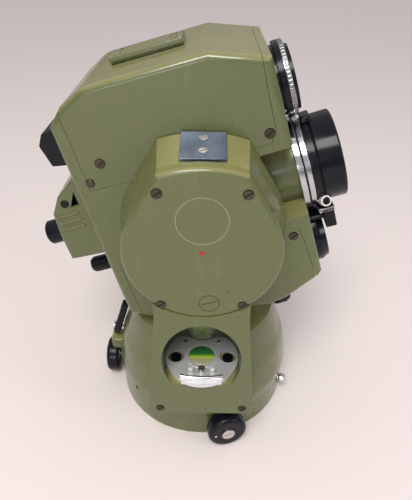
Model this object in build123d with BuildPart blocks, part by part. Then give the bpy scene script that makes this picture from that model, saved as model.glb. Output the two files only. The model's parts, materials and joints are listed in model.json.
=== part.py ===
"""Engineer's theodolite with a distance meter over its telescope, in millimetres.

The origin is the centre of the base on the table, +Z is up, +X is the way the objective looks and +Y is
the far side. The model stands with its telescope tilted up by rest_tilt.
"""

from build123d import *
import os
from math import acos, atan2, cos, degrees, hypot, radians, sin, tan

os.makedirs("parts", exist_ok=True)

# General fits
running_fit = 0.05
seam_gap = 0.2
rest_gap = 0.3
slot_width = 0.9

# Base
base_radius = 62.0
base_height = 21.0
base_wall = 12.0
base_web = 2.5
base_plate_radius = 55.95
base_plate_thickness = 6.0
tripod_hub_radius = 17.0
tripod_hub_height = 14.0
tripod_thread_radius = 7.94
base_screw_circle = 53.0
base_screw_head = 2.4
base_screw_shank = 1.4
base_screw_length = 9.0
stop_pin_radius = 3.6
stop_pin_reach = 5.0
stop_pin_height = 12.0
stop_pin_azimuth = -19.7

# Levelling knobs
levelling_azimuths = (-75.6, 180.0, 52.2)
levelling_height = 14.0
knob_radius = 13.4
knob_thickness = 10.0
knob_stand = 12.9
knob_face = base_radius + knob_stand
knob_edge = 3.0
shaft_radius = 3.0
shaft_head_radius = 4.4
shaft_head_height = 0.8
cam_radius = 3.4
cam_throw = 0.8
cam_length = 5.0

# Vertical axis
sleeve_bore = 12.0
sleeve_radius = 17.0
sleeve_top = 60.0
bush_flange_radius = 34.0
bush_flange_thickness = 4.0
circle_seat_radius = 22.0
circle_height = 42.0
horizontal_circle_radius = 44.5
circle_thickness = 3.0
spindle_flange_radius = 20.0
spindle_flange_thickness = 6.0

# Bell housing: outer radius at each height
bell_outline = ((62.5, 21.3), (63.0, 30.0), (59.8, 49.0), (55.6, 60.0), (51.5, 73.5), (50.0, 77.5))
bell_wall = 3.5
bell_roof = 4.0

# Telescope axis
trunnion_height = 162.2
rest_tilt = 18.4
trunnion_radius = 12.0
trunnion_bush_radius = 16.0
bush_lip = 2.0
housing_half_width = 40.0
housing_side_gap = 1.0
inner_face = housing_half_width + housing_side_gap

# Standards
cover_radius = 42.1
cover_drop = 1.9
cover_crown_rise = 46.8
cover_crown_top = trunnion_height + cover_crown_rise
cover_shoulder = 22.0
shoulder_rise = 42.8
shoulder_height = trunnion_height + shoulder_rise
head_depth = 21.9
cover_depth = 8.1
cover_inner = inner_face + head_depth
cover_outer = cover_inner + cover_depth
trunnion_shortfall = 2.9
trunnion_end = cover_inner - trunnion_shortfall
cover_edge = 2.5
head_wall = 5.0
head_hollow_radius = 37.0
head_back_radius = 46.2
head_back_shoulder = 23.4
head_rise = 6.0
pillar_top_half_width = 27.0
pillar_foot_half_width = 34.0
pillar_shoulder = 118.0
pillar_foot = 34.0
panel_thickness = 3.5
cover_screw_rise_top = 33.9
cover_screw_drop = 34.4
cover_screw_spots = (
    (-21.6, trunnion_height + cover_screw_rise_top), (21.6, trunnion_height + cover_screw_rise_top),
    (-22.4, trunnion_height - cover_screw_drop), (22.4, trunnion_height - cover_screw_drop),
)
panel_screw_spots = ((-26.7, 38.8), (26.7, 38.8))
cover_screw_head = 2.4
cover_screw_rise = 0.5
cover_screw_shank = 1.3
cover_screw_length = 12.0
panel_screw_length = 7.0
plug_spot = (4.1, trunnion_height - 33.3)
plug_radius = 5.7
plug_depth = 3.0
plug_slot_angle = 15.0
plug_ring = 0.3
mark_radius = 1.3
mark_depth = 2.0
top_plate_half_width = 11.3
top_plate_thickness = 2.0
top_plate_sink = 1.2
top_plate_screw_head = 2.2
top_plate_screw_spacing = 10.0

# Circular level in its niche
level_y = -49.8
level_height = 65.0
level_radius = 23.9
level_thickness = 2.5
level_clearance = 0.3
niche_lean = 36.0
niche_post_y = -18.7
niche_post_radius = 15.5
niche_wall = 3.0
niche_back = 3.5
level_bite_radius = 16.3
level_hole_offset = 17.1
level_hole_radius = 5.5
vial_radius = 8.4
vial_ring_radius = 10.4
vial_depth = 1.8
level_lip_half_width = 12.6
level_lip_height = 3.0
level_lip_thickness = 2.0
level_lip_inset = 3.4
adjuster_radius = 2.2
adjuster_height = 3.2
adjuster_neck = 0.6

# Clamps and slow-motion screws
clamp_half_width = 8.0
clamp_inner = 59.0
clamp_outer = 70.0
clamp_bottom = 28.4
clamp_top = 37.0
lever_length = 22.0
lever_foot_radius = 5.5
lever_tip_radius = 4.0
lever_thickness = 5.0
lever_lean = 18.0
lever_radius = 62.5
lever_pivot_height = 43.0
lever_pin_radius = 2.0
tangent_azimuth = 22.0
tangent_height = 60.0
tangent_knob_radius = 9.0
tangent_inner = 60.0
tangent_outer = 70.0
tangent_shaft_radius = 2.5
tangent_shaft_length = 12.0
rear_knob_height = 92.0
rear_knob_spacing = 15.0
rear_knob_radius = 9.0
rear_knob_length = 11.0
rear_clamp_radius = 7.0
rear_shaft_radius = 2.5
rear_shaft_depth = 16.0

# Telescope
tube_radius = 24.0
tube_wall = 2.5
tube_step = -20.0
tube_rear = -88.0
rear_tube_radius = 14.0
rear_bore_radius = 10.0
circle_place = inner_face + 9.0
vertical_circle_radius = 35.5
cell_rear_radius = 28.0
cell_radius = 27.0
cell_step = 61.0
cell_front = 65.0
lens_radius = 22.5
lens_seat = 60.0
lens_thickness = 3.5
shade_radius = 26.0
shade_groove = 70.0
shade_front = 83.5
focus_place = -34.0
focus_lens_length = 6.0
reticle_place = -70.0

# Distance meter housing: corners (u, w) of its side outline, from the lower front round the top
housing_front = 57.6
housing_corners = (
    (housing_front, -55.1), (housing_front, 73.8), (29.6, 85.1), (-30.7, 88.0), (-35.3, 87.4),
    (-47.5, 82.3), (-56.8, 74.7), (-65.6, -39.5), (-65.9, -50.9), (-54.2, -59.1), (21.4, -71.9),
    (32.9, -69.4), (55.1, -58.1),
)
housing_edge = 3.5
hood_wall = 3.0
upper_region = (
    (-49.2, 100.0), (-49.6, 66.4), (-52.0, 36.5), (38.8, 33.5), (47.7, 33.8), (51.2, 39.8), (52.0, 60.2),
    (53.1, 75.2), (54.5, 100.0),
)
lower_region = (
    (-56.3, -14.4), (44.6, -18.3), (50.4, -20.5), (51.6, -29.0), (53.4, -56.9), (54.3, -90.0),
    (-58.9, -90.0), (-58.0, -41.9),
)
window_rear = 20.0
window_foot = -13.0
window_head = 28.6
light_hole_radius = 11.0
frame_wall = 4.0
pocket_front = -53.0
upper_screw_spots = ((-40.2, 49.8), (48.0, 39.0))
lower_screw_spots = ((46.5, -24.5), (-48.0, -24.5))
hood_screw_length = 5.0
board_y = 22.0
board_rear = -40.0
board_front = 40.0
board_top = 76.0
board_thickness = 1.6

# Optics of the distance meter
upper_optic_w = 51.0
lower_optic_w = -50.5
signal_w = -33.0
signal_radius = 5.5
signal_end = -93.0
signal_shaft = 2.5
signal_shaft_length = 6.0
upper_optic_front = 68.0
cell_collar = 19.0
ring_rear = 60.0
ring_front = 66.0
ring_bore = 17.6
ring_radius = 20.4
lower_optic_radius = 20.0
lower_bevel = 61.5
meter_lens_radius = 14.5
meter_lens_seat = 60.0
meter_lens_thickness = 3.0
bracket_y = -15.0
bracket_width = 11.0
bracket_rear = 67.0
bracket_front = 73.5
bracket_top = -26.2
bracket_foot = -38.0
bracket_pin_w = -32.0
bracket_pin_radius = 1.6

# Accessory bar
bar_rear = -22.5
bar_front = 17.5
bar_width = 20.0
bar_height = 4.3
bar_foot = 1.5
bar_screw_head = 1.9
bar_screw_sink = 1.2

# Rear of the telescope
box_half_width = 25.0
box_wall = 3.0
box_window = ((-68.1, 33.3), (-68.7, 23.0), (-74.2, 24.0))
focus_ring_front = -91.5
focus_ring_length = 6.0
focus_ring_radius = 9.5
focus_sleeve = 8.0
eyepiece_shaft = 6.5
eyepiece_radius = 8.0
eyepiece_end = -108.0
hood_top = 68.0
hood_foot = 44.0
hood_half_width = 15.0
hood_corners = ((-73.5, 67.0), (-78.0, 61.0), (-76.5, 47.5))
hood_pocket_rear = -74.0

# Frames of reference
optic_dir = (cos(radians(rest_tilt)), 0, sin(radians(rest_tilt)))
side_plane = Plane(origin=(0, 0, trunnion_height), x_dir=optic_dir, z_dir=(0, -1, 0))
optic_plane = Plane(origin=(0, 0, trunnion_height), x_dir=(0, 1, 0), z_dir=optic_dir)


def point(u, y, w):
    """Place u along the optical axis from the trunnions, y to the far side and w above the axis."""
    lean = radians(rest_tilt)
    return (u * cos(lean) - w * sin(lean), y, trunnion_height + u * sin(lean) + w * cos(lean))


def standard_plane(side, distance):
    """Upright plane facing out on the near (-1) or far (1) side; its local y is the height."""
    return Plane(origin=(0, side * distance, 0), x_dir=(-side, 0, 0), z_dir=(0, side, 0))


def radial_plane(azimuth, distance, height=0.0):
    """Upright plane facing out at an azimuth; local x runs round the axis and local y upwards."""
    ca = cos(radians(azimuth))
    sa = sin(radians(azimuth))
    return Plane(origin=(distance * ca, distance * sa, height), x_dir=(-sa, ca, 0), z_dir=(ca, sa, 0))


def turned(outline, centre_w=0.0, centre_y=0.0):
    """Solid turned about a line parallel to the optical axis, from (u, radius) corners."""
    with BuildPart() as piece:
        with BuildSketch(side_plane.offset(-centre_y)):
            with BuildLine():
                Polyline(*[(u, centre_w + r) for u, r in outline], close=True)
            make_face()
        revolve(axis=Axis(point(0, centre_y, centre_w), optic_dir))
    return piece.part


def screw_group(face, spots, head, rise, shank, length, slot_angle=0.0):
    """Slotted screws with their heads on a face and their shanks behind it."""
    with BuildPart() as group:
        with BuildSketch(face):
            with Locations(*spots):
                Circle(head)
        extrude(amount=rise)
        with BuildSketch(face):
            with Locations(*spots):
                Circle(shank)
        extrude(amount=-length)
        with BuildSketch(face.offset(rise)):
            with Locations(*spots):
                Rectangle(2.5 * head, slot_width, rotation=slot_angle)
        extrude(amount=-0.7 * rise, mode=Mode.SUBTRACT)
    return group.part


def save(piece, name):
    """Label a finished piece and write it."""
    piece.part.label = name
    export_step(piece.part, f"parts/{name}.step")


# Base ring: a turned wall with a web on top that carries the axis bush
ring_inner = base_radius - base_wall
recess_radius = base_plate_radius + running_fit
with BuildPart() as base_ring:
    with BuildSketch(Plane.XY):
        Circle(base_radius)
    extrude(amount=base_height)
    chamfer(base_ring.edges().filter_by(GeomType.CIRCLE).group_by(Axis.Z)[-1], 0.8)
    with BuildSketch(Plane.XY):
        Circle(recess_radius)
    extrude(amount=base_plate_thickness, mode=Mode.SUBTRACT)
    with BuildSketch(Plane.XY):
        Circle(ring_inner)
    extrude(amount=base_height - base_web, mode=Mode.SUBTRACT)
    with BuildSketch(Plane.XY):
        Circle(sleeve_radius + running_fit)
    extrude(amount=base_height, mode=Mode.SUBTRACT)
    for azimuth in levelling_azimuths:
        with BuildSketch(radial_plane(azimuth, 0, levelling_height)):
            Circle(shaft_radius + running_fit)
        extrude(amount=base_radius + 1, mode=Mode.SUBTRACT)
    with BuildSketch(radial_plane(stop_pin_azimuth, base_radius + 1, stop_pin_height)):
        Circle(stop_pin_radius - 1 + running_fit)
    extrude(amount=-6, mode=Mode.SUBTRACT)
    with BuildSketch(Plane.XY):
        with PolarLocations(base_screw_circle, 3, start_angle=20):
            Circle(base_screw_shank + running_fit)
    extrude(amount=base_screw_length + rest_gap, mode=Mode.SUBTRACT)
save(base_ring, "base_ring")

# Base plate with the tripod thread
with BuildPart() as base_plate:
    with BuildSketch(Plane.XY):
        Circle(base_plate_radius)
    extrude(amount=base_plate_thickness)
    with BuildSketch(Plane.XY):
        Circle(tripod_hub_radius)
    extrude(amount=tripod_hub_height)
    with BuildSketch(Plane.XY):
        Circle(tripod_thread_radius)
        with PolarLocations(base_screw_circle, 3, start_angle=20):
            Circle(base_screw_shank + running_fit)
    extrude(amount=tripod_hub_height, mode=Mode.SUBTRACT)
    with BuildSketch(Plane.XY):
        with PolarLocations(base_screw_circle, 3, start_angle=20):
            Circle(base_screw_head + running_fit)
    extrude(amount=2.0, mode=Mode.SUBTRACT)
save(base_plate, "base_plate")

with BuildPart() as base_screws:
    with BuildSketch(Plane.XY.offset(rest_gap)):
        with PolarLocations(base_screw_circle, 3, start_angle=20):
            Circle(base_screw_head)
    extrude(amount=2.0 - rest_gap)
    with BuildSketch(Plane.XY.offset(rest_gap)):
        with PolarLocations(base_screw_circle, 3, start_angle=20):
            Circle(base_screw_shank)
    extrude(amount=base_screw_length - rest_gap)
save(base_screws, "base_screws")

with BuildPart() as stop_pin:
    with BuildSketch(radial_plane(stop_pin_azimuth, base_radius + 0.4, stop_pin_height)):
        Circle(stop_pin_radius)
    extrude(amount=stop_pin_reach)
    fillet(stop_pin.edges().filter_by(GeomType.CIRCLE), 0.4 * stop_pin_radius)
    with BuildSketch(radial_plane(stop_pin_azimuth, base_radius + 1, stop_pin_height)):
        Circle(stop_pin_radius - 1)
    extrude(amount=-5.6)
save(stop_pin, "stop_pin")

# Levelling knobs with rounded rims, and their cam shafts
for number, azimuth in enumerate(levelling_azimuths, start=1):
    with BuildPart() as levelling_knob:
        with BuildSketch(radial_plane(azimuth, knob_face, levelling_height)):
            Circle(knob_radius)
        extrude(amount=-knob_thickness)
        fillet(levelling_knob.edges().filter_by(GeomType.CIRCLE), knob_edge)
        with BuildSketch(radial_plane(azimuth, knob_face, levelling_height)):
            Circle(shaft_radius + running_fit)
        extrude(amount=-knob_thickness, mode=Mode.SUBTRACT)
    save(levelling_knob, f"levelling_knob_{number}")

    with BuildPart() as levelling_shaft:
        with BuildSketch(radial_plane(azimuth, ring_inner - cam_length - 1, levelling_height)):
            with Locations((0, cam_throw)):
                Circle(cam_radius)
        extrude(amount=cam_length)
        with BuildSketch(radial_plane(azimuth, ring_inner - cam_length - 1, levelling_height)):
            Circle(shaft_radius)
        extrude(amount=knob_face - ring_inner + cam_length + 1)
        with BuildSketch(radial_plane(azimuth, knob_face, levelling_height)):
            Circle(shaft_head_radius)
        extrude(amount=shaft_head_height)
        with BuildSketch(radial_plane(azimuth, knob_face + shaft_head_height, levelling_height)):
            Rectangle(3 * shaft_head_radius, slot_width)
        extrude(amount=-0.5 * shaft_head_height, mode=Mode.SUBTRACT)
    save(levelling_shaft, f"levelling_shaft_{number}")

# Vertical axis: bush in the base, spindle in the bell
with BuildPart() as axis_bush:
    with BuildSketch(Plane.XY.offset(tripod_hub_height + rest_gap)):
        Circle(sleeve_radius)
    extrude(amount=sleeve_top - tripod_hub_height - rest_gap)
    with BuildSketch(Plane.XY.offset(base_height)):
        Circle(bush_flange_radius)
    extrude(amount=bush_flange_thickness)
    with BuildSketch(Plane.XY.offset(base_height)):
        Circle(circle_seat_radius)
    extrude(amount=circle_height - base_height)
    with BuildSketch(Plane.XY.offset(tripod_hub_height)):
        Circle(sleeve_bore)
    extrude(amount=sleeve_top, mode=Mode.SUBTRACT)
save(axis_bush, "axis_bush")

with BuildPart() as horizontal_circle:
    with BuildSketch(Plane.XY.offset(circle_height)):
        Circle(horizontal_circle_radius)
        Circle(sleeve_radius + running_fit, mode=Mode.SUBTRACT)
    extrude(amount=circle_thickness)
save(horizontal_circle, "horizontal_circle")

bell_top = bell_outline[-1][1]
spindle_radius = sleeve_bore - running_fit
with BuildPart() as spindle:
    with BuildSketch(Plane.XY.offset(tripod_hub_height + rest_gap)):
        Circle(spindle_radius)
    extrude(amount=bell_top - tripod_hub_height - rest_gap - 0.5)
    with BuildSketch(Plane.XY.offset(bell_top - bell_roof - spindle_flange_thickness)):
        Circle(spindle_flange_radius)
    extrude(amount=spindle_flange_thickness)
save(spindle, "spindle")


def bell_solid(grow=0.0):
    """Whole body of the bell housing, without its hollow."""
    with BuildPart() as solid:
        with BuildSketch(Plane.XZ):
            with BuildLine():
                rim = [(radius + grow, height) for radius, height in bell_outline]
                Polyline((0, rim[0][1]), *rim, (0, rim[-1][1]), close=True)
            make_face()
        revolve(axis=Axis.Z)
    return solid.part


def niche_space(grow=0.0, top=140.0):
    """Room for the circular level: an upright round pocket with a mouth that leans outwards."""
    floor = level_height - level_thickness
    lean = radians(niche_lean)
    radius = level_radius + level_clearance + grow
    leaning = Plane(origin=(0, level_y, floor + 4), x_dir=(1, 0, 0), z_dir=(0, -cos(lean), sin(lean)))
    with BuildPart() as space:
        with BuildSketch(Plane.XY.offset(floor - grow)):
            with Locations((0, level_y)):
                Circle(radius)
        extrude(amount=14 + grow)
        with BuildSketch(leaning):
            Circle(radius)
        extrude(amount=top)
    return space.part


# Bell housing with the level's pocket let into its near side
niche_floor = level_height - level_thickness
with BuildPart() as bell_housing:
    add(bell_solid())
    with BuildSketch(Plane.XZ):
        with BuildLine():
            bore = [(radius - bell_wall, height) for radius, height in bell_outline[:-1]]
            bore[0] = (bore[0][0], bell_outline[0][1] - 1)
            Polyline((0, bore[0][1]), *bore[:-1], (bore[-1][0], bell_top - bell_roof),
                     (0, bell_top - bell_roof), close=True)
        make_face()
    revolve(axis=Axis.Z, mode=Mode.SUBTRACT)
    with BuildPart(mode=Mode.PRIVATE) as pocket:
        with BuildSketch(Plane.XY.offset(niche_floor - niche_wall)):
            with Locations((0, level_y)):
                Circle(level_radius + level_clearance + niche_wall)
        extrude(amount=bell_top - niche_floor + niche_wall)
        add(bell_solid(), mode=Mode.INTERSECT)
        with BuildSketch(Plane.XY):
            Circle(spindle_flange_radius + 1)
        extrude(amount=bell_top, mode=Mode.SUBTRACT)
    add(pocket.part)
    with BuildPart(mode=Mode.PRIVATE) as scoop:
        with BuildSketch(Plane.XY.offset(niche_floor)):
            with Locations((0, level_y)):
                Circle(level_radius + level_clearance)
            with Locations((0, niche_post_y)):
                Circle(niche_post_radius, mode=Mode.SUBTRACT)
        extrude(amount=bell_top)
    add(scoop.part, mode=Mode.SUBTRACT)
    with BuildSketch(Plane.XY):
        Circle(spindle_radius + running_fit)
    extrude(amount=bell_top, mode=Mode.SUBTRACT)
    with BuildSketch(radial_plane(tangent_azimuth, 0, tangent_height)):
        Circle(tangent_shaft_radius + running_fit)
    extrude(amount=base_radius + 10, mode=Mode.SUBTRACT)
save(bell_housing, "bell_housing")


def head_outline(flare=0.0, gap=0.0):
    """Outline of a standard's head: a circle whose straight flanks rise to two shoulders under a low
    crown. The flare runs from 0 at the cover to 1 at the inner face."""
    centre = trunnion_height - cover_drop
    radius = cover_radius + gap + flare * (head_back_radius - cover_radius)
    side = cover_shoulder + gap + flare * (head_back_shoulder - cover_shoulder)
    level = shoulder_height + gap + flare * head_rise
    crown = cover_crown_top + gap + flare * head_rise
    turn = atan2(level - centre, side) - acos(radius / hypot(side, level - centre))
    flank = (radius * cos(turn), centre + radius * sin(turn))
    with BuildSketch() as outline:
        with BuildLine():
            Line(flank, (side, level))
            ThreePointArc((side, level), (0, crown), (-side, level))
            Line((-side, level), (-flank[0], flank[1]))
            ThreePointArc((-flank[0], flank[1]), (0, centre - radius), flank)
        make_face()
    return outline.sketch


def pillar_outline():
    """Front of a standard's pillar, widening to its foot, with its top hidden in the head."""
    with BuildSketch() as outline:
        with BuildLine():
            Polyline((pillar_top_half_width, trunnion_height - cover_radius + 10),
                     (pillar_top_half_width, pillar_shoulder), (pillar_foot_half_width, pillar_foot + 2),
                     (pillar_foot_half_width - 2, pillar_foot), (-pillar_foot_half_width + 2, pillar_foot),
                     (-pillar_foot_half_width, pillar_foot + 2), (-pillar_top_half_width, pillar_shoulder),
                     (-pillar_top_half_width, trunnion_height - cover_radius + 10), close=True)
        make_face()
    return outline.sketch


def standard_casting(side, pillar_front):
    """Casting of one standard: a flared hollow head on a pillar that stands against the bell."""
    with BuildPart() as casting:
        with BuildSketch(standard_plane(side, cover_inner)):
            add(head_outline(0))
        with BuildSketch(standard_plane(side, inner_face)):
            add(head_outline(1))
        loft()
        with BuildSketch(standard_plane(side, pillar_front)):
            add(pillar_outline())
        extrude(amount=inner_face - pillar_front)
        with BuildSketch(standard_plane(side, cover_inner)):
            add(head_outline(0, seam_gap))
        extrude(amount=cover_outer, mode=Mode.SUBTRACT)
        with BuildSketch(standard_plane(side, cover_inner)):
            with Locations((0, trunnion_height)):
                Circle(head_hollow_radius)
        extrude(amount=inner_face + head_wall - cover_inner, mode=Mode.SUBTRACT)
        with BuildSketch(standard_plane(side, cover_inner)):
            with Locations((0, trunnion_height)):
                Circle(trunnion_bush_radius + running_fit)
        extrude(amount=inner_face - cover_inner, mode=Mode.SUBTRACT)
        with BuildSketch(standard_plane(side, cover_inner)):
            with Locations(*cover_screw_spots):
                Circle(cover_screw_shank + running_fit)
        extrude(amount=cover_outer - cover_inner - cover_screw_length - rest_gap, mode=Mode.SUBTRACT)
        add(bell_solid(running_fit), mode=Mode.SUBTRACT)
    return casting.part


def mouth_space():
    """Part of the level's pocket that opens through the near pillar, short of its back wall."""
    with BuildPart() as mouth:
        add(niche_space())
        with BuildSketch(Plane.XY.offset(niche_floor)):
            with Locations((0, -inner_face - niche_back)):
                Rectangle(200, 100, align=(Align.CENTER, Align.MAX))
        extrude(amount=150, mode=Mode.INTERSECT)
    return mouth.part


# Near standard with the seat of the top plate and the mouth of the level's pocket
head_slope = degrees(atan2(head_rise, cover_inner - inner_face))
top_seat = Plane(
    origin=(0, -cover_inner, cover_crown_top - top_plate_sink),
    x_dir=(1, 0, 0),
    z_dir=(0, -sin(radians(head_slope)), cos(radians(head_slope))),
)
top_plate_start = 1.2
top_plate_length = hypot(cover_inner - inner_face, head_rise) - top_plate_start
top_plate_spot = top_plate_start + top_plate_length / 2
top_plate_screw_spots = [(0, top_plate_spot + shift * top_plate_screw_spacing / 2) for shift in (-1, 1)]
with BuildPart() as near_standard:
    add(standard_casting(-1, cover_outer - panel_thickness))
    with BuildSketch(top_seat):
        with Locations((0, top_plate_spot)):
            Rectangle(2 * (top_plate_half_width + seam_gap), 2 * top_plate_length)
    extrude(amount=10, mode=Mode.SUBTRACT)
    with BuildSketch(top_seat):
        with Locations(*top_plate_screw_spots):
            Circle(cover_screw_shank + running_fit)
    extrude(amount=-6, mode=Mode.SUBTRACT)
    add(mouth_space(), mode=Mode.SUBTRACT)
    with BuildSketch(standard_plane(-1, cover_outer)):
        with Locations(*panel_screw_spots):
            Circle(cover_screw_shank + running_fit)
    extrude(amount=-panel_screw_length - rest_gap, mode=Mode.SUBTRACT)
save(near_standard, "near_standard")

with BuildPart() as front_panel:
    with BuildSketch(standard_plane(-1, cover_outer)):
        add(pillar_outline())
        with Locations((0, trunnion_height - cover_drop)):
            Circle(cover_radius + seam_gap, mode=Mode.SUBTRACT)
        with Locations(*panel_screw_spots):
            Circle(cover_screw_shank + running_fit, mode=Mode.SUBTRACT)
    extrude(amount=-panel_thickness)
    add(mouth_space(), mode=Mode.SUBTRACT)
save(front_panel, "front_panel")

with BuildPart() as far_standard:
    add(standard_casting(1, cover_outer))
    for x in (-rear_knob_spacing, rear_knob_spacing):
        with BuildSketch(standard_plane(1, cover_outer)):
            with Locations((x, rear_knob_height)):
                Circle(rear_shaft_radius + running_fit)
        extrude(amount=-rear_shaft_depth - rest_gap, mode=Mode.SUBTRACT)
save(far_standard, "far_standard")


def cover_shell(side):
    """Cover of a standard's head with its screw holes and a rounded front edge."""
    with BuildPart() as cover:
        with BuildSketch(standard_plane(side, cover_outer)):
            add(head_outline(0))
        extrude(amount=cover_inner - cover_outer)
        fillet(cover.faces().sort_by(Axis.Y)[0 if side < 0 else -1].edges(), cover_edge)
        with BuildSketch(standard_plane(side, cover_outer)):
            with Locations(*cover_screw_spots):
                Circle(cover_screw_shank + running_fit)
        extrude(amount=cover_inner - cover_outer, mode=Mode.SUBTRACT)
    return cover.part


with BuildPart() as near_cover:
    add(cover_shell(-1))
    with BuildSketch(standard_plane(-1, cover_outer)):
        with Locations(plug_spot):
            Circle(plug_radius + running_fit)
    extrude(amount=-plug_depth, mode=Mode.SUBTRACT)
    with BuildSketch(standard_plane(-1, cover_outer)):
        with Locations((0, trunnion_height)):
            Circle(mark_radius + running_fit)
    extrude(amount=-mark_depth, mode=Mode.SUBTRACT)
save(near_cover, "near_cover")

with BuildPart() as far_cover:
    add(cover_shell(1))
save(far_cover, "far_cover")

with BuildPart() as cover_plug:
    with BuildSketch(standard_plane(-1, cover_outer)):
        with Locations(plug_spot):
            Circle(plug_radius - plug_ring)
    extrude(amount=-plug_depth)
    with BuildSketch(standard_plane(-1, cover_outer)):
        with Locations(plug_spot):
            Rectangle(1.5 * plug_radius, 1.2 * slot_width, rotation=plug_slot_angle)
    extrude(amount=-1.0, mode=Mode.SUBTRACT)
save(cover_plug, "cover_plug")

with BuildPart() as height_mark:
    with BuildSketch(standard_plane(-1, cover_outer)):
        with Locations((0, trunnion_height)):
            Circle(mark_radius)
    extrude(amount=-mark_depth)
save(height_mark, "height_mark")

with BuildPart() as cover_screws:
    for side in (-1, 1):
        add(screw_group(standard_plane(side, cover_outer), cover_screw_spots, cover_screw_head,
                        cover_screw_rise, cover_screw_shank, cover_screw_length, 35))
    add(screw_group(standard_plane(-1, cover_outer), panel_screw_spots, cover_screw_head,
                    cover_screw_rise, cover_screw_shank, panel_screw_length, 50))
save(cover_screws, "cover_screws")

with BuildPart() as top_plate:
    with BuildSketch(top_seat):
        with Locations((0, top_plate_spot)):
            Rectangle(2 * top_plate_half_width, top_plate_length)
        with Locations(*top_plate_screw_spots):
            Circle(cover_screw_shank + running_fit, mode=Mode.SUBTRACT)
    extrude(amount=top_plate_thickness)
    chamfer(top_plate.edges().filter_by(Axis.X).sort_by(Axis.Z)[-1], 0.5)
save(top_plate, "top_plate")

with BuildPart() as top_plate_screws:
    add(screw_group(top_seat.offset(top_plate_thickness), top_plate_screw_spots,
                    top_plate_screw_head, cover_screw_rise, cover_screw_shank, 6, 20))
save(top_plate_screws, "top_plate_screws")

# Bushes that the trunnions turn in
with BuildPart() as trunnion_bushes:
    for side in (-1, 1):
        with BuildSketch(standard_plane(side, inner_face + head_wall)):
            with Locations((0, trunnion_height)):
                Circle(trunnion_bush_radius)
        extrude(amount=-head_wall)
        with BuildSketch(standard_plane(side, inner_face + head_wall)):
            with Locations((0, trunnion_height)):
                Circle(trunnion_bush_radius + bush_lip)
        extrude(amount=bush_lip)
        with BuildSketch(standard_plane(side, inner_face + head_wall + bush_lip)):
            with Locations((0, trunnion_height)):
                Circle(trunnion_radius + running_fit)
        extrude(amount=-head_wall - bush_lip, mode=Mode.SUBTRACT)
save(trunnion_bushes, "trunnion_bushes")

# Circular level: bitten disc with a front flange, glass vial, screws and adjuster
with BuildPart() as level_plate:
    with BuildSketch(Plane.XY.offset(niche_floor)):
        with Locations((0, level_y)):
            Circle(level_radius)
        with Locations((0, niche_post_y)):
            Circle(level_bite_radius, mode=Mode.SUBTRACT)
    extrude(amount=level_thickness)
    with BuildSketch(Plane.XY.offset(level_height)):
        with Locations((0, level_y)):
            Circle(vial_ring_radius)
    extrude(amount=0.8)
    with BuildSketch(Plane.XY.offset(level_height + 0.8)):
        with Locations((0, level_y)):
            Circle(vial_radius + running_fit)
    extrude(amount=-vial_depth - 0.8, mode=Mode.SUBTRACT)
    with BuildSketch(Plane.XY.offset(niche_floor)):
        with Locations((-level_hole_offset, level_y), (level_hole_offset, level_y)):
            Circle(level_hole_radius)
    extrude(amount=level_thickness, mode=Mode.SUBTRACT)
    with BuildSketch(Plane.XY.offset(niche_floor)):
        with Locations((0, level_y - level_radius + level_lip_inset)):
            Rectangle(2 * level_lip_half_width, level_lip_thickness)
    extrude(amount=level_thickness + level_lip_height)
    fillet(level_plate.edges().filter_by(Axis.X).group_by(Axis.Z)[-1], 0.45 * level_lip_thickness)
save(level_plate, "level_plate")

with BuildPart() as level_vial:
    with BuildSketch(Plane.XY.offset(level_height - vial_depth)):
        with Locations((0, level_y)):
            Circle(vial_radius)
    extrude(amount=vial_depth + 1.0)
    fillet(level_vial.edges().group_by(Axis.Z)[-1], 0.8)
save(level_vial, "level_vial")

with BuildPart() as level_screws:
    with BuildSketch(Plane.XY.offset(niche_floor)):
        with Locations((-level_hole_offset, level_y), (level_hole_offset, level_y)):
            Circle(level_hole_radius - 2.0)
    extrude(amount=level_thickness - 0.5)
    with BuildSketch(Plane.XY.offset(niche_floor + level_thickness - 0.5)):
        with Locations((-level_hole_offset, level_y), (level_hole_offset, level_y)):
            Rectangle(level_hole_radius * 2, slot_width)
    extrude(amount=-0.8, mode=Mode.SUBTRACT)
save(level_screws, "level_screws")

adjuster_y = level_y - vial_ring_radius - rest_gap - adjuster_radius
with BuildPart() as level_adjuster:
    with BuildSketch(Plane.XY.offset(level_height)):
        with Locations((0, adjuster_y)):
            Circle(adjuster_radius)
    extrude(amount=adjuster_height)
    with BuildSketch(Plane.XY.offset(level_height + adjuster_height / 2)):
        with Locations((0, adjuster_y)):
            Circle(adjuster_radius)
            Circle(adjuster_radius - adjuster_neck, mode=Mode.SUBTRACT)
    extrude(amount=adjuster_neck, mode=Mode.SUBTRACT)
save(level_adjuster, "level_adjuster")

# Clamp on the bell's left: housing, pin and lever
with BuildPart() as clamp_housing:
    with BuildSketch(radial_plane(180, clamp_outer)):
        with Locations((0, (clamp_bottom + clamp_top) / 2)):
            Rectangle(2 * clamp_half_width, clamp_top - clamp_bottom)
    extrude(amount=clamp_inner - clamp_outer)
    fillet(clamp_housing.edges().filter_by(Axis.Z).sort_by(Axis.X)[:2], 3.5)
    fillet(clamp_housing.faces().sort_by(Axis.Z)[-1].edges(), 1.5)
    add(bell_solid(running_fit), mode=Mode.SUBTRACT)
save(clamp_housing, "clamp_housing")

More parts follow.
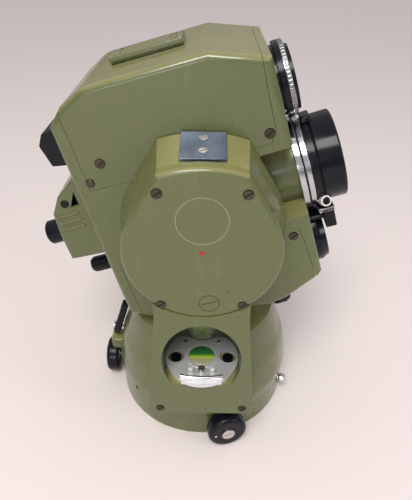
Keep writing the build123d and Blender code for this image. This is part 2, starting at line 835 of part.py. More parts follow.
lever_plane = Plane(
    origin=(-lever_radius, 0, lever_pivot_height),
    x_dir=(0, -1, 0),
    z_dir=(-cos(radians(lever_lean)), 0, sin(radians(lever_lean))),
)
with BuildPart() as clamp_pin:
    with BuildSketch(lever_plane.offset(lever_thickness + running_fit)):
        Circle(lever_pin_radius)
    extrude(amount=-lever_thickness - 3)
    with BuildSketch(lever_plane.offset(lever_thickness + running_fit)):
        Circle(lever_pin_radius + 1.2)
    extrude(amount=1.2)
    add(bell_solid(running_fit), mode=Mode.SUBTRACT)
save(clamp_pin, "clamp_pin")

with BuildPart() as clamp_lever:
    with BuildSketch(lever_plane):
        Circle(lever_foot_radius)
        with Locations((0, lever_length)):
            Circle(lever_tip_radius)
        with BuildLine():
            Polyline((-lever_foot_radius, 0), (lever_foot_radius, 0), (lever_tip_radius, lever_length),
                     (-lever_tip_radius, lever_length), close=True)
        make_face()
        Circle(lever_pin_radius + running_fit, mode=Mode.SUBTRACT)
    extrude(amount=lever_thickness)
    fillet(clamp_lever.faces().sort_by(lambda f: f.center().X)[0].outer_wire().edges(), 1.0)
save(clamp_lever, "clamp_lever")


def grip_knob(face, radius, length, shaft, shaft_length, scallops):
    """Knob with a scalloped grip that stands out of a face on its own shaft."""
    with BuildPart() as knob:
        with BuildSketch(face.offset(rest_gap)):
            Circle(radius)
            with PolarLocations(radius + 0.6, scallops):
                Circle(1.1, mode=Mode.SUBTRACT)
        extrude(amount=length - 2)
        with BuildSketch(face.offset(rest_gap + length - 2)):
            Circle(radius - 1)
        extrude(amount=2)
        with BuildSketch(face.offset(rest_gap)):
            Circle(shaft)
        extrude(amount=-shaft_length)
    return knob.part


with BuildPart() as tangent_knob:
    add(grip_knob(radial_plane(tangent_azimuth, tangent_inner, tangent_height), tangent_knob_radius,
                  tangent_outer - tangent_inner, tangent_shaft_radius, tangent_shaft_length, 18))
save(tangent_knob, "tangent_knob")

far_face = standard_plane(1, cover_outer)
with BuildPart() as vertical_tangent_knob:
    add(grip_knob(Plane(far_face.location * Location((rear_knob_spacing, rear_knob_height, 0))),
                  rear_knob_radius, rear_knob_length, rear_shaft_radius, rear_shaft_depth, 18))
save(vertical_tangent_knob, "vertical_tangent_knob")

with BuildPart() as vertical_clamp_knob:
    add(grip_knob(Plane(far_face.location * Location((-rear_knob_spacing, rear_knob_height, 0))),
                  rear_clamp_radius, rear_knob_length, rear_shaft_radius, rear_shaft_depth, 12))
save(vertical_clamp_knob, "vertical_clamp_knob")

# Telescope: tube, trunnions, vertical circle and glass
with BuildPart() as telescope_tube:
    add(turned([(tube_step, 0), (tube_step, tube_radius), (housing_front, tube_radius), (housing_front, 0)]))
    add(turned([(tube_rear, 0), (tube_rear, rear_tube_radius), (tube_step, rear_tube_radius), (tube_step, 0)]))
    add(turned([(tube_step + tube_wall, 0), (tube_step + tube_wall, tube_radius - tube_wall),
                (housing_front, tube_radius - tube_wall), (housing_front, 0)]), mode=Mode.SUBTRACT)
    add(turned([(tube_rear, 0), (tube_rear, rear_bore_radius), (housing_front, rear_bore_radius),
                (housing_front, 0)]), mode=Mode.SUBTRACT)
save(telescope_tube, "telescope_tube")

with BuildPart() as trunnions:
    for side in (-1, 1):
        with BuildSketch(standard_plane(side, trunnion_end)):
            with Locations((0, trunnion_height)):
                Circle(trunnion_radius)
        extrude(amount=-(trunnion_end - tube_radius / 2))
    add(turned([(-tube_radius, 0), (-tube_radius, tube_radius + running_fit),
                (tube_radius, tube_radius + running_fit), (tube_radius, 0)]), mode=Mode.SUBTRACT)
    with BuildSketch(standard_plane(-1, circle_place + 2)):
        with Locations((0, trunnion_height)):
            Circle(trunnion_radius + 4)
    extrude(amount=-2)
save(trunnions, "trunnions")

with BuildPart() as vertical_circle:
    with BuildSketch(standard_plane(-1, circle_place + 2)):
        with Locations((0, trunnion_height)):
            Circle(vertical_circle_radius)
            Circle(trunnion_radius + running_fit, mode=Mode.SUBTRACT)
    extrude(amount=circle_thickness)
save(vertical_circle, "vertical_circle")

with BuildPart() as objective_cell:
    spigot = tube_radius - tube_wall - running_fit
    add(turned([(housing_front - 7, spigot - 1.4), (housing_front - 7, spigot), (housing_front, spigot),
                (housing_front, cell_rear_radius), (cell_step, cell_rear_radius), (cell_step, cell_radius),
                (cell_front, cell_radius), (cell_front, lens_radius + running_fit),
                (lens_seat, lens_radius + running_fit), (lens_seat, spigot - 1.4)]))
save(objective_cell, "objective_cell")

with BuildPart() as objective_lens:
    add(turned([(lens_seat, 0), (lens_seat, lens_radius), (lens_seat + lens_thickness, lens_radius),
                (lens_seat + lens_thickness, 0)]))
save(objective_lens, "objective_lens")

with BuildPart() as sunshade:
    add(turned([(cell_front, lens_radius + 0.6), (cell_front, shade_radius - 0.6),
                (shade_groove - 0.4, shade_radius - 0.6), (shade_groove - 0.4, shade_radius - 1.2),
                (shade_groove + 0.4, shade_radius - 1.2), (shade_groove + 0.4, shade_radius),
                (shade_front - 0.8, shade_radius), (shade_front, shade_radius - 0.8),
                (shade_front, shade_radius - 1.6), (shade_front - 1.2, shade_radius - 2.4),
                (cell_front + 1.5, shade_radius - 2.4), (cell_front + 1.5, lens_radius + 0.6)]))
save(sunshade, "sunshade")

with BuildPart() as focusing_lens:
    add(turned([(focus_place, 0), (focus_place, rear_bore_radius - running_fit),
                (focus_place + focus_lens_length, rear_bore_radius - running_fit),
                (focus_place + focus_lens_length, 0)]))
save(focusing_lens, "focusing_lens")

with BuildPart() as reticle_cell:
    add(turned([(reticle_place, 0), (reticle_place, rear_bore_radius), (reticle_place + 3, rear_bore_radius),
                (reticle_place + 3, rear_bore_radius - 2), (reticle_place + 1, rear_bore_radius - 2),
                (reticle_place + 1, 0)]))
save(reticle_cell, "reticle_cell")


def housing_sketch(shrink=0.0):
    """Side outline of the distance meter's housing, in the plane of u and w."""
    with BuildSketch() as outline:
        with BuildLine():
            Polyline(*housing_corners, close=True)
        make_face()
        if shrink:
            offset(amount=-shrink)
    return outline.sketch


def housing_solid(shrink=0.0):
    """Whole housing of the distance meter with rounded side edges, or its hollow when shrunk."""
    half = housing_half_width - shrink
    with BuildPart() as solid:
        with BuildSketch(side_plane.offset(half)):
            add(housing_sketch(shrink))
        extrude(amount=-2 * half)
        if not shrink:
            ends = solid.faces().sort_by(Axis.Y)
            fillet(ends[0].edges() + ends[-1].edges(), housing_edge)
    return solid.part


def region(corners, grow=0.0, half=100.0):
    """Block that runs across the housing and holds one of its hoods, from (u, w) corners."""
    with BuildPart() as block:
        with BuildSketch(side_plane.offset(half)):
            with BuildLine():
                Polyline(*corners, close=True)
            make_face()
            if grow:
                offset(amount=grow)
        extrude(amount=-2 * half)
    return block.part


def side_holes(spots, radius):
    """Round holes right across the housing at (u, w) spots."""
    with BuildPart() as holes:
        with BuildSketch(side_plane.offset(housing_half_width + 1)):
            with Locations(*spots):
                Circle(radius)
        extrude(amount=-2 * housing_half_width - 2)
    return holes.part


def rear_face(w):
    """Place of the housing's rear face along the optical axis, at a height above it."""
    top, foot = housing_corners[6], housing_corners[7]
    return top[0] + (foot[0] - top[0]) * (w - top[1]) / (foot[1] - top[1])


def deck_height(u):
    """Top of the frame's deck under the upper hood, at a place along the optical axis."""
    rear, front = upper_region[2], upper_region[3]
    return rear[1] + (front[1] - rear[1]) * (u - rear[0]) / (front[0] - rear[0]) - seam_gap + 2 * running_fit


whole_housing = housing_solid()
housing_hollow = housing_solid(hood_wall)

with BuildPart() as upper_hood:
    add(whole_housing)
    add(region(upper_region), mode=Mode.INTERSECT)
    add(housing_hollow, mode=Mode.SUBTRACT)
    add(side_holes(upper_screw_spots, cover_screw_shank + running_fit), mode=Mode.SUBTRACT)
save(upper_hood, "upper_hood")

with BuildPart() as lower_hood:
    add(whole_housing)
    add(region(lower_region), mode=Mode.INTERSECT)
    add(housing_hollow, mode=Mode.SUBTRACT)
    add(side_holes(lower_screw_spots, cover_screw_shank + running_fit), mode=Mode.SUBTRACT)
save(lower_hood, "lower_hood")

# Frame between the hoods, with the telescope's tunnel and the open windows beside the barrel
with BuildPart() as housing_frame:
    add(whole_housing)
    add(region(upper_region, seam_gap), mode=Mode.SUBTRACT)
    add(region(lower_region, seam_gap), mode=Mode.SUBTRACT)
    window = [(window_rear, window_foot), (window_rear, window_head), (housing_front + 5, window_head),
              (housing_front + 5, window_foot)]
    add(region(window), mode=Mode.SUBTRACT)
    add(turned([(tube_step - rest_gap, 0), (tube_step - rest_gap, tube_radius + seam_gap),
                (housing_front + 5, tube_radius + seam_gap), (housing_front + 5, 0)]), mode=Mode.SUBTRACT)
    add(turned([(tube_rear, 0), (tube_rear, rear_tube_radius + running_fit),
                (housing_front, rear_tube_radius + running_fit), (housing_front, 0)]), mode=Mode.SUBTRACT)
    with BuildSketch(standard_plane(-1, housing_half_width + 1)):
        with Locations((0, trunnion_height)):
            Circle(trunnion_radius + running_fit)
    extrude(amount=-2 * housing_half_width - 2, mode=Mode.SUBTRACT)
    for place in (upper_optic_w, lower_optic_w):
        add(turned([(housing_front - 10, 0), (housing_front - 10, light_hole_radius),
                    (housing_front + 1, light_hole_radius), (housing_front + 1, 0)], place),
            mode=Mode.SUBTRACT)
    pocket = [(rear_face(70) + frame_wall, 70), (rear_face(10) + frame_wall, 10),
              (pocket_front, 10), (pocket_front, 70)]
    add(region(pocket, half=housing_half_width - 2 * frame_wall), mode=Mode.SUBTRACT)
    add(turned([(rear_face(signal_w) - 5, 0), (rear_face(signal_w) - 5, signal_shaft + running_fit),
                (rear_face(signal_w) + signal_shaft_length + 1, signal_shaft + running_fit),
                (rear_face(signal_w) + signal_shaft_length + 1, 0)], signal_w), mode=Mode.SUBTRACT)
save(housing_frame, "housing_frame")

with BuildPart() as hood_screws:
    for spots in (upper_screw_spots, lower_screw_spots):
        add(screw_group(side_plane.offset(housing_half_width), spots, cover_screw_head, cover_screw_rise,
                        cover_screw_shank, hood_screw_length, 30))
        far_spots = [(-u, w) for u, w in spots]
        far_plane = Plane(origin=point(0, housing_half_width, 0),
                          x_dir=(-optic_dir[0], 0, -optic_dir[2]), z_dir=(0, 1, 0))
        add(screw_group(far_plane, far_spots, cover_screw_head, cover_screw_rise,
                        cover_screw_shank, hood_screw_length, 30))
save(hood_screws, "hood_screws")

with BuildPart() as circuit_board:
    with BuildSketch(side_plane.offset(-board_y)):
        with BuildLine():
            Polyline((board_rear, deck_height(board_rear)), (board_front, deck_height(board_front)),
                     (board_front, board_top), (board_rear, board_top), close=True)
        make_face()
    extrude(amount=-board_thickness)
    with BuildSketch(side_plane.offset(-board_y)):
        with Locations((board_rear + 20, board_top - 18), (board_rear + 50, board_top - 14)):
            Rectangle(14, 14)
    extrude(amount=2.5)
save(circuit_board, "circuit_board")

# Accessory bar along the housing's top, with its screws
top_front, top_rear = housing_corners[2], housing_corners[3]
top_lean = degrees(atan2(top_front[1] - top_rear[1], top_front[0] - top_rear[0]))
bar_dir = (cos(radians(rest_tilt + top_lean)), 0, sin(radians(rest_tilt + top_lean)))
bar_middle = (bar_front + bar_rear) / 2
bar_seat_w = top_rear[1] + (bar_middle - top_rear[0]) * tan(radians(top_lean))
bar_plane = Plane(origin=point(bar_middle, 0, bar_seat_w), x_dir=bar_dir, z_dir=(-bar_dir[2], 0, bar_dir[0]))
bar_length = bar_front - bar_rear
bar_screw_spots = [(x, y) for x in (-bar_length / 2 + 4, bar_length / 2 - 5) for y in (-6, 6)]
with BuildPart() as accessory_bar:
    with BuildSketch(bar_plane):
        Rectangle(bar_length, bar_width - 4)
    extrude(amount=bar_foot)
    with BuildSketch(bar_plane.offset(bar_foot)):
        Rectangle(bar_length, bar_width)
    extrude(amount=bar_height - bar_foot)
    top_edges = accessory_bar.faces().sort_by(lambda f: f.center().dot(bar_plane.z_dir))[-1].edges()
    chamfer(top_edges, 0.5)
    with BuildSketch(bar_plane):
        with Locations(*bar_screw_spots):
            Circle(cover_screw_shank + running_fit)
    extrude(amount=bar_height, mode=Mode.SUBTRACT)
    with BuildSketch(bar_plane.offset(bar_height)):
        with Locations(*bar_screw_spots):
            Circle(bar_screw_head + running_fit)
    extrude(amount=-bar_screw_sink, mode=Mode.SUBTRACT)
save(accessory_bar, "accessory_bar")

with BuildPart() as bar_screws:
    add(screw_group(bar_plane.offset(bar_height - bar_screw_sink), bar_screw_spots, bar_screw_head,
                    bar_screw_sink - rest_gap, cover_screw_shank, bar_height - bar_screw_sink - rest_gap, 15))
save(bar_screws, "bar_screws")

# Upper and lower optics of the distance meter
with BuildPart() as upper_optic_cell:
    add(turned([(housing_front, light_hole_radius), (housing_front, cell_collar), (ring_rear, cell_collar),
                (ring_rear, ring_bore - running_fit), (upper_optic_front, ring_bore - running_fit),
                (upper_optic_front, meter_lens_radius + 1.2),
                (meter_lens_seat + meter_lens_thickness + 1, meter_lens_radius + running_fit),
                (meter_lens_seat, meter_lens_radius + running_fit), (meter_lens_seat, light_hole_radius)],
               upper_optic_w))
save(upper_optic_cell, "upper_optic_cell")

with BuildPart() as upper_optic_ring:
    add(turned([(ring_rear, ring_bore), (ring_rear, ring_radius), (ring_front, ring_radius),
                (ring_front, ring_bore)], upper_optic_w))
    chamfer(upper_optic_ring.edges().filter_by(GeomType.CIRCLE).sort_by(Edge.length)[-2:], 0.5)
save(upper_optic_ring, "upper_optic_ring")

with BuildPart() as lower_optic_cell:
    add(turned([(housing_front, light_hole_radius), (housing_front, lower_optic_radius),
                (lower_bevel, lower_optic_radius), (ring_front, lower_optic_radius - 2.5),
                (ring_front, meter_lens_radius + 1.2),
                (meter_lens_seat + meter_lens_thickness + 1, meter_lens_radius + running_fit),
                (meter_lens_seat, meter_lens_radius + running_fit), (meter_lens_seat, light_hole_radius)],
               lower_optic_w))
save(lower_optic_cell, "lower_optic_cell")

with BuildPart() as meter_lenses:
    for place in (upper_optic_w, lower_optic_w):
        add(turned([(meter_lens_seat, 0), (meter_lens_seat, meter_lens_radius),
                    (meter_lens_seat + meter_lens_thickness, meter_lens_radius),
                    (meter_lens_seat + meter_lens_thickness, 0)], place))
save(meter_lenses, "meter_lenses")

# Bracket that hangs in front of the lower optic on a pin from the housing
with BuildPart() as objective_bracket:
    with BuildSketch(optic_plane.offset(bracket_rear)):
        with Locations((bracket_y, (bracket_top + bracket_foot) / 2)):
            Rectangle(bracket_width, bracket_top - bracket_foot)
    extrude(amount=bracket_front - bracket_rear)
    chamfer(objective_bracket.edges(), 0.5)
    with BuildSketch(optic_plane.offset(housing_front)):
        with Locations((bracket_y, bracket_pin_w)):
            Circle(bracket_pin_radius)
    extrude(amount=bracket_rear - housing_front + 1)
save(objective_bracket, "objective_bracket")

# Rear: eyepiece box with its open triangle, eyepiece, focusing ring, display hood and signal knob
box_corners = (
    (rear_face(39.5), 39.5), (-67.4, 39.5), (-78.8, 32.4), (-86.7, 22.6), (-89.3, 7.4), (-90.5, -9.5),
    (-70.5, -11.0), (rear_face(-11.0), -11.0),
)
with BuildPart() as eyepiece_box:
    with BuildSketch(side_plane.offset(box_half_width)):
        with BuildLine():
            Polyline(*box_corners, close=True)
        make_face()
    extrude(amount=-2 * box_half_width)
    fillet(eyepiece_box.faces().sort_by(Axis.Y)[0].edges().sort_by(Axis.X)[:4], 1.5)
    with BuildSketch(side_plane.offset(box_half_width - box_wall)):
        with BuildLine():
            Polyline(*box_corners, close=True)
        make_face()
        offset(amount=-box_wall)
    extrude(amount=-2 * (box_half_width - box_wall), mode=Mode.SUBTRACT)
    add(turned([(tube_rear - 10, 0), (tube_rear - 10, rear_tube_radius + running_fit),
                (tube_step, rear_tube_radius + running_fit), (tube_step, 0)]), mode=Mode.SUBTRACT)
    with BuildSketch(side_plane.offset(box_half_width)):
        with BuildLine():
            Polyline(*box_window, close=True)
        make_face()
    extrude(amount=-box_wall, mode=Mode.SUBTRACT)
save(eyepiece_box, "eyepiece_box")

with BuildPart() as focus_ring:
    with BuildSketch(optic_plane.offset(focus_ring_front)):
        Circle(focus_ring_radius)
        with PolarLocations(focus_ring_radius + 0.5, 16):
            Circle(0.9, mode=Mode.SUBTRACT)
    extrude(amount=-focus_ring_length)
    with BuildSketch(optic_plane.offset(tube_rear + focus_sleeve)):
        Circle(rear_bore_radius - running_fit)
    extrude(amount=focus_ring_front - focus_ring_length - tube_rear - focus_sleeve)
    with BuildSketch(optic_plane.offset(tube_rear + focus_sleeve)):
        Circle(eyepiece_shaft + running_fit)
    extrude(amount=-60, mode=Mode.SUBTRACT)
save(focus_ring, "focus_ring")

with BuildPart() as eyepiece:
    eyepiece_start = focus_ring_front - focus_ring_length - rest_gap
    add(turned([(tube_rear + focus_sleeve, eyepiece_shaft - 2), (tube_rear + focus_sleeve, eyepiece_shaft),
                (eyepiece_start, eyepiece_shaft), (eyepiece_start, eyepiece_radius),
                (eyepiece_end + 1, eyepiece_radius), (eyepiece_end, eyepiece_radius - 1),
                (eyepiece_end, eyepiece_shaft - 2)]))
save(eyepiece, "eyepiece")

with BuildPart() as display_hood:
    with BuildSketch(side_plane.offset(hood_half_width)):
        with BuildLine():
            Polyline((rear_face(hood_top), hood_top), *hood_corners,
                     (rear_face(hood_foot), hood_foot), close=True)
        make_face()
    extrude(amount=-2 * hood_half_width)
    fillet(display_hood.edges().filter_by(Axis.Y).sort_by(Axis.X)[:3], 1.5)
    with BuildSketch(side_plane.offset(hood_half_width - 2)):
        with BuildLine():
            Polyline((rear_face(hood_foot) + 1, hood_foot - 8), (hood_pocket_rear, hood_foot - 8),
                     (hood_pocket_rear, 56.0), (rear_face(60) - 1, 60.0), close=True)
        make_face()
    extrude(amount=-2 * hood_half_width + 4, mode=Mode.SUBTRACT)
save(display_hood, "display_hood")

with BuildPart() as signal_knob:
    start = rear_face(signal_w) - 0.8
    add(turned([(start + signal_shaft_length, 0), (start + signal_shaft_length, signal_shaft),
                (start, signal_shaft), (start, signal_radius), (signal_end + 3, signal_radius),
                (signal_end + 1, signal_radius - 1), (signal_end, signal_radius - 3), (signal_end, 0)],
               signal_w))
save(signal_knob, "signal_knob")
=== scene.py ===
"""Visual scene of an engineer's theodolite with a distance meter over its telescope.

Lengths in the code are metres unless a name says otherwise. The solids come from the frame; this script
shades them and adds the small forms and marks that the photograph shows.
"""

import json
import logging
import math
from dataclasses import dataclass
from enum import Enum
from typing import Callable, Optional, Sequence

import bmesh
import bpy
import numpy as np
from mathutils import Matrix, Vector

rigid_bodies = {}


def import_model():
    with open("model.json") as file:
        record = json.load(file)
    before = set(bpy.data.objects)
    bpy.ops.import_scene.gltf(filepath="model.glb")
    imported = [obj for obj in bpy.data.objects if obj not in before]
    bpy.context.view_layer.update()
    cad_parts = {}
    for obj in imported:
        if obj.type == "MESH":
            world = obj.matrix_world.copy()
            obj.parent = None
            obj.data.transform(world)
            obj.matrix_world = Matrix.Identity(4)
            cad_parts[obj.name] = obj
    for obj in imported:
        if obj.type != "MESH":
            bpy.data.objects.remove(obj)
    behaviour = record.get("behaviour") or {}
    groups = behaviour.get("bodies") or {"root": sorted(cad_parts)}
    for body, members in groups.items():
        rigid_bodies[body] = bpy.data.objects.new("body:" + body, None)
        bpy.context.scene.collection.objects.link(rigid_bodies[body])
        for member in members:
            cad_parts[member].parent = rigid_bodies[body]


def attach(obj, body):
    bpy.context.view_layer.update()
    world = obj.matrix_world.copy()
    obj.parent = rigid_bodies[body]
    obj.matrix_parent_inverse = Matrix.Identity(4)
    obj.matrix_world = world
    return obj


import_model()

LOG = logging.getLogger("theodolite")
MILLIMETRE = 0.001

Colour = tuple[float, float, float]
Point = tuple[float, float, float]
Pair = tuple[float, float]
Profile = tuple[Pair, ...]
Line = tuple[tuple[float, ...], tuple[float, ...]]

# Tilt of the telescope at rest, height of its trunnions and near face of the near cover, in millimetres
REST_TILT = math.radians(18.4)
TRUNNION_HEIGHT = 162.2
COVER_FACE_Y = -71.0
TO_THE_NEAR_SIDE = np.array([0.0, -1.0, 0.0])
UPWARDS = np.array([0.0, 0.0, 1.0])

# Camera worked out from the photograph: metres, degrees, and millimetres of lens and sensor
CAMERA_PLACE = (0.00242, -0.27083, 0.30204)
CAMERA_PITCH = 34.5497
CAMERA_YAW = -0.1309
CAMERA_ROLL = 0.6847
CAMERA_LENS = 34.56
CAMERA_SENSOR = 36.0
CAMERA_CLIP = 0.01


class Body(Enum):
    """Bodies of the frame that carry added pieces."""

    BASE = "base"
    ALIDADE = "alidade"
    TELESCOPE = "telescope"


class Slot(Enum):
    """Material slots of the record."""

    OLIVE = "olive_enamel"
    BLACK = "black_enamel"
    CHROME = "chrome"
    STEEL = "steel"
    SCREW = "dark_screw"


def place(u: float, y: float, w: float) -> np.ndarray:
    """Turn telescope coordinates into world metres.

    Args:
        u: Millimetres along the optical axis from the trunnions.
        y: Millimetres to the far side.
        w: Millimetres above the optical axis.

    Returns:
        The place in metres.
    """
    cos_tilt, sin_tilt = math.cos(REST_TILT), math.sin(REST_TILT)
    x = u * cos_tilt - w * sin_tilt
    z = TRUNNION_HEIGHT + u * sin_tilt + w * cos_tilt
    return MILLIMETRE * np.array([x, y, z])


def direction(u: float, y: float, w: float) -> np.ndarray:
    """Turn a telescope direction into a unit vector of the world.

    Args:
        u: Share along the optical axis.
        y: Share to the far side.
        w: Share above the optical axis.

    Returns:
        The unit vector.
    """
    vector = place(u, y, w) - place(0, 0, 0)
    return vector / np.linalg.norm(vector)


def cover_point(spot: Pair, lift: float) -> np.ndarray:
    """Return a point in front of the near cover, in metres.

    Args:
        spot: Millimetres across and up.
        lift: Millimetres in front of the cover's face.

    Returns:
        The place in metres.
    """
    return MILLIMETRE * np.array([spot[0], COVER_FACE_Y - lift, spot[1]])


def round_base(azimuth: float) -> tuple[np.ndarray, np.ndarray]:
    """Return the unit vectors away from the vertical axis and sideways, at an azimuth in degrees."""
    turn = math.radians(azimuth)
    outward = np.array([math.cos(turn), math.sin(turn), 0.0])
    return outward, np.array([-math.sin(turn), math.cos(turn), 0.0])


def set_ramp(ramp: bpy.types.Node, stops: Sequence[tuple[float, Colour]]) -> None:
    """Fill a colour ramp, which starts with two elements.

    Args:
        ramp: The ramp node.
        stops: Position and colour of each stop, in rising order.
    """
    for number, (spot, colour) in enumerate(stops):
        element = ramp.color_ramp.elements[number] if number < 2 else ramp.color_ramp.elements.new(spot)
        element.position = spot
        element.color = (*colour, 1.0)


@dataclass(frozen=True)
class Noise:
    """Noise on Object coordinates, cut to a band.

    Attributes:
        scale: Scale of the noise.
        detail: Its detail.
        low: Noise value that becomes 0.
        high: Noise value that becomes 1.
        stretch: Scale along each axis before the noise.
    """

    scale: float
    detail: float
    low: float
    high: float
    stretch: Point = (1.0, 1.0, 1.0)


@dataclass(frozen=True)
class Finish:
    """Look of one material.

    Attributes:
        colour: Base colour, linear.
        metallic: Metallic share.
        roughness: Mean roughness.
        coat: Clear coat weight.
        mottle: Strength of the slow colour change over the surface.
        wear: Share of worn edges and scratches, from 0 to 1.
        bump: Strength of the fine surface grain.
        lit_top_colour: Painted light: colour that faces turned upwards take on in place of warm light from
            above, or None.
        transmission: Transmission weight.
        ior: Index of refraction.
        specular: Specular level.
    """

    colour: Colour
    metallic: float = 0.0
    roughness: float = 0.4
    coat: float = 0.0
    mottle: float = 0.1
    wear: float = 0.0
    bump: float = 0.0
    lit_top_colour: Optional[Colour] = None
    transmission: float = 0.0
    ior: float = 1.5
    specular: float = 0.5


class Look(Enum):
    """Finishes of the theodolite. The material takes the name of the member."""

    # OLIVE has painted light: its upward faces turn paler and warmer, as if lit from above.
    OLIVE = Finish((0.104, 0.125, 0.042), roughness=0.3, coat=0.4, mottle=0.16, wear=0.3, bump=0.05,
                   lit_top_colour=(0.36, 0.33, 0.13))
    BLACK = Finish((0.006, 0.007, 0.011), roughness=0.22, mottle=0.3, wear=0.06, bump=0.05, specular=0.22)
    BLUE_BLACK = Finish((0.17, 0.22, 0.31), metallic=0.75, roughness=0.3, coat=0.4, mottle=0.8, wear=0.4,
                        bump=0.05)
    CHROME = Finish((0.56, 0.57, 0.59), metallic=1.0, roughness=0.2, mottle=0.08, wear=0.1)
    SATIN = Finish((0.74, 0.74, 0.77), metallic=0.4, roughness=0.38, mottle=0.15, wear=0.2, bump=0.04)
    STEEL = Finish((0.66, 0.65, 0.62), metallic=1.0, roughness=0.27, mottle=0.2, wear=0.2, bump=0.03)
    KNURL = Finish((0.30, 0.30, 0.31), metallic=1.0, roughness=0.34, mottle=0.2, wear=0.1)
    SCREW = Finish((0.085, 0.072, 0.05), metallic=0.85, roughness=0.34, mottle=0.6, wear=0.2, bump=0.04)
    ALUMINIUM = Finish((0.55, 0.55, 0.56), metallic=1.0)
    BRASS = Finish((0.5, 0.36, 0.14), metallic=1.0, roughness=0.3, mottle=0.2)
    GLASS = Finish((0.05, 0.07, 0.12), roughness=0.04, coat=1.0, mottle=0.0, ior=1.7)
    CLEAR = Finish((0.8, 0.85, 0.85), roughness=0.1, transmission=0.8, mottle=0.0)
    VIAL = Finish((0.02, 0.20, 0.03), roughness=0.05, coat=1.0, mottle=0.0)
    RED = Finish((0.42, 0.012, 0.008), mottle=0.0)
    BOARD = Finish((0.02, 0.12, 0.04), roughness=0.5)
    # Painted shade: dark pieces for the shade in slots and grooves.
    DARK = Finish((0.004, 0.004, 0.005), roughness=0.7, mottle=0.0)
    WHITE = Finish((0.75, 0.76, 0.72), roughness=0.5, mottle=0.05)
    ENGRAVING = Finish((0.36, 0.38, 0.30), roughness=0.5)
    # Painted shade: a dark sheet laid over the wall of the level's niche.
    SHADED_POCKET = Finish((0.022, 0.026, 0.014), roughness=0.5, specular=0.2)
    SHADOW = Finish((0.012, 0.011, 0.008), roughness=0.6, mottle=0.0)


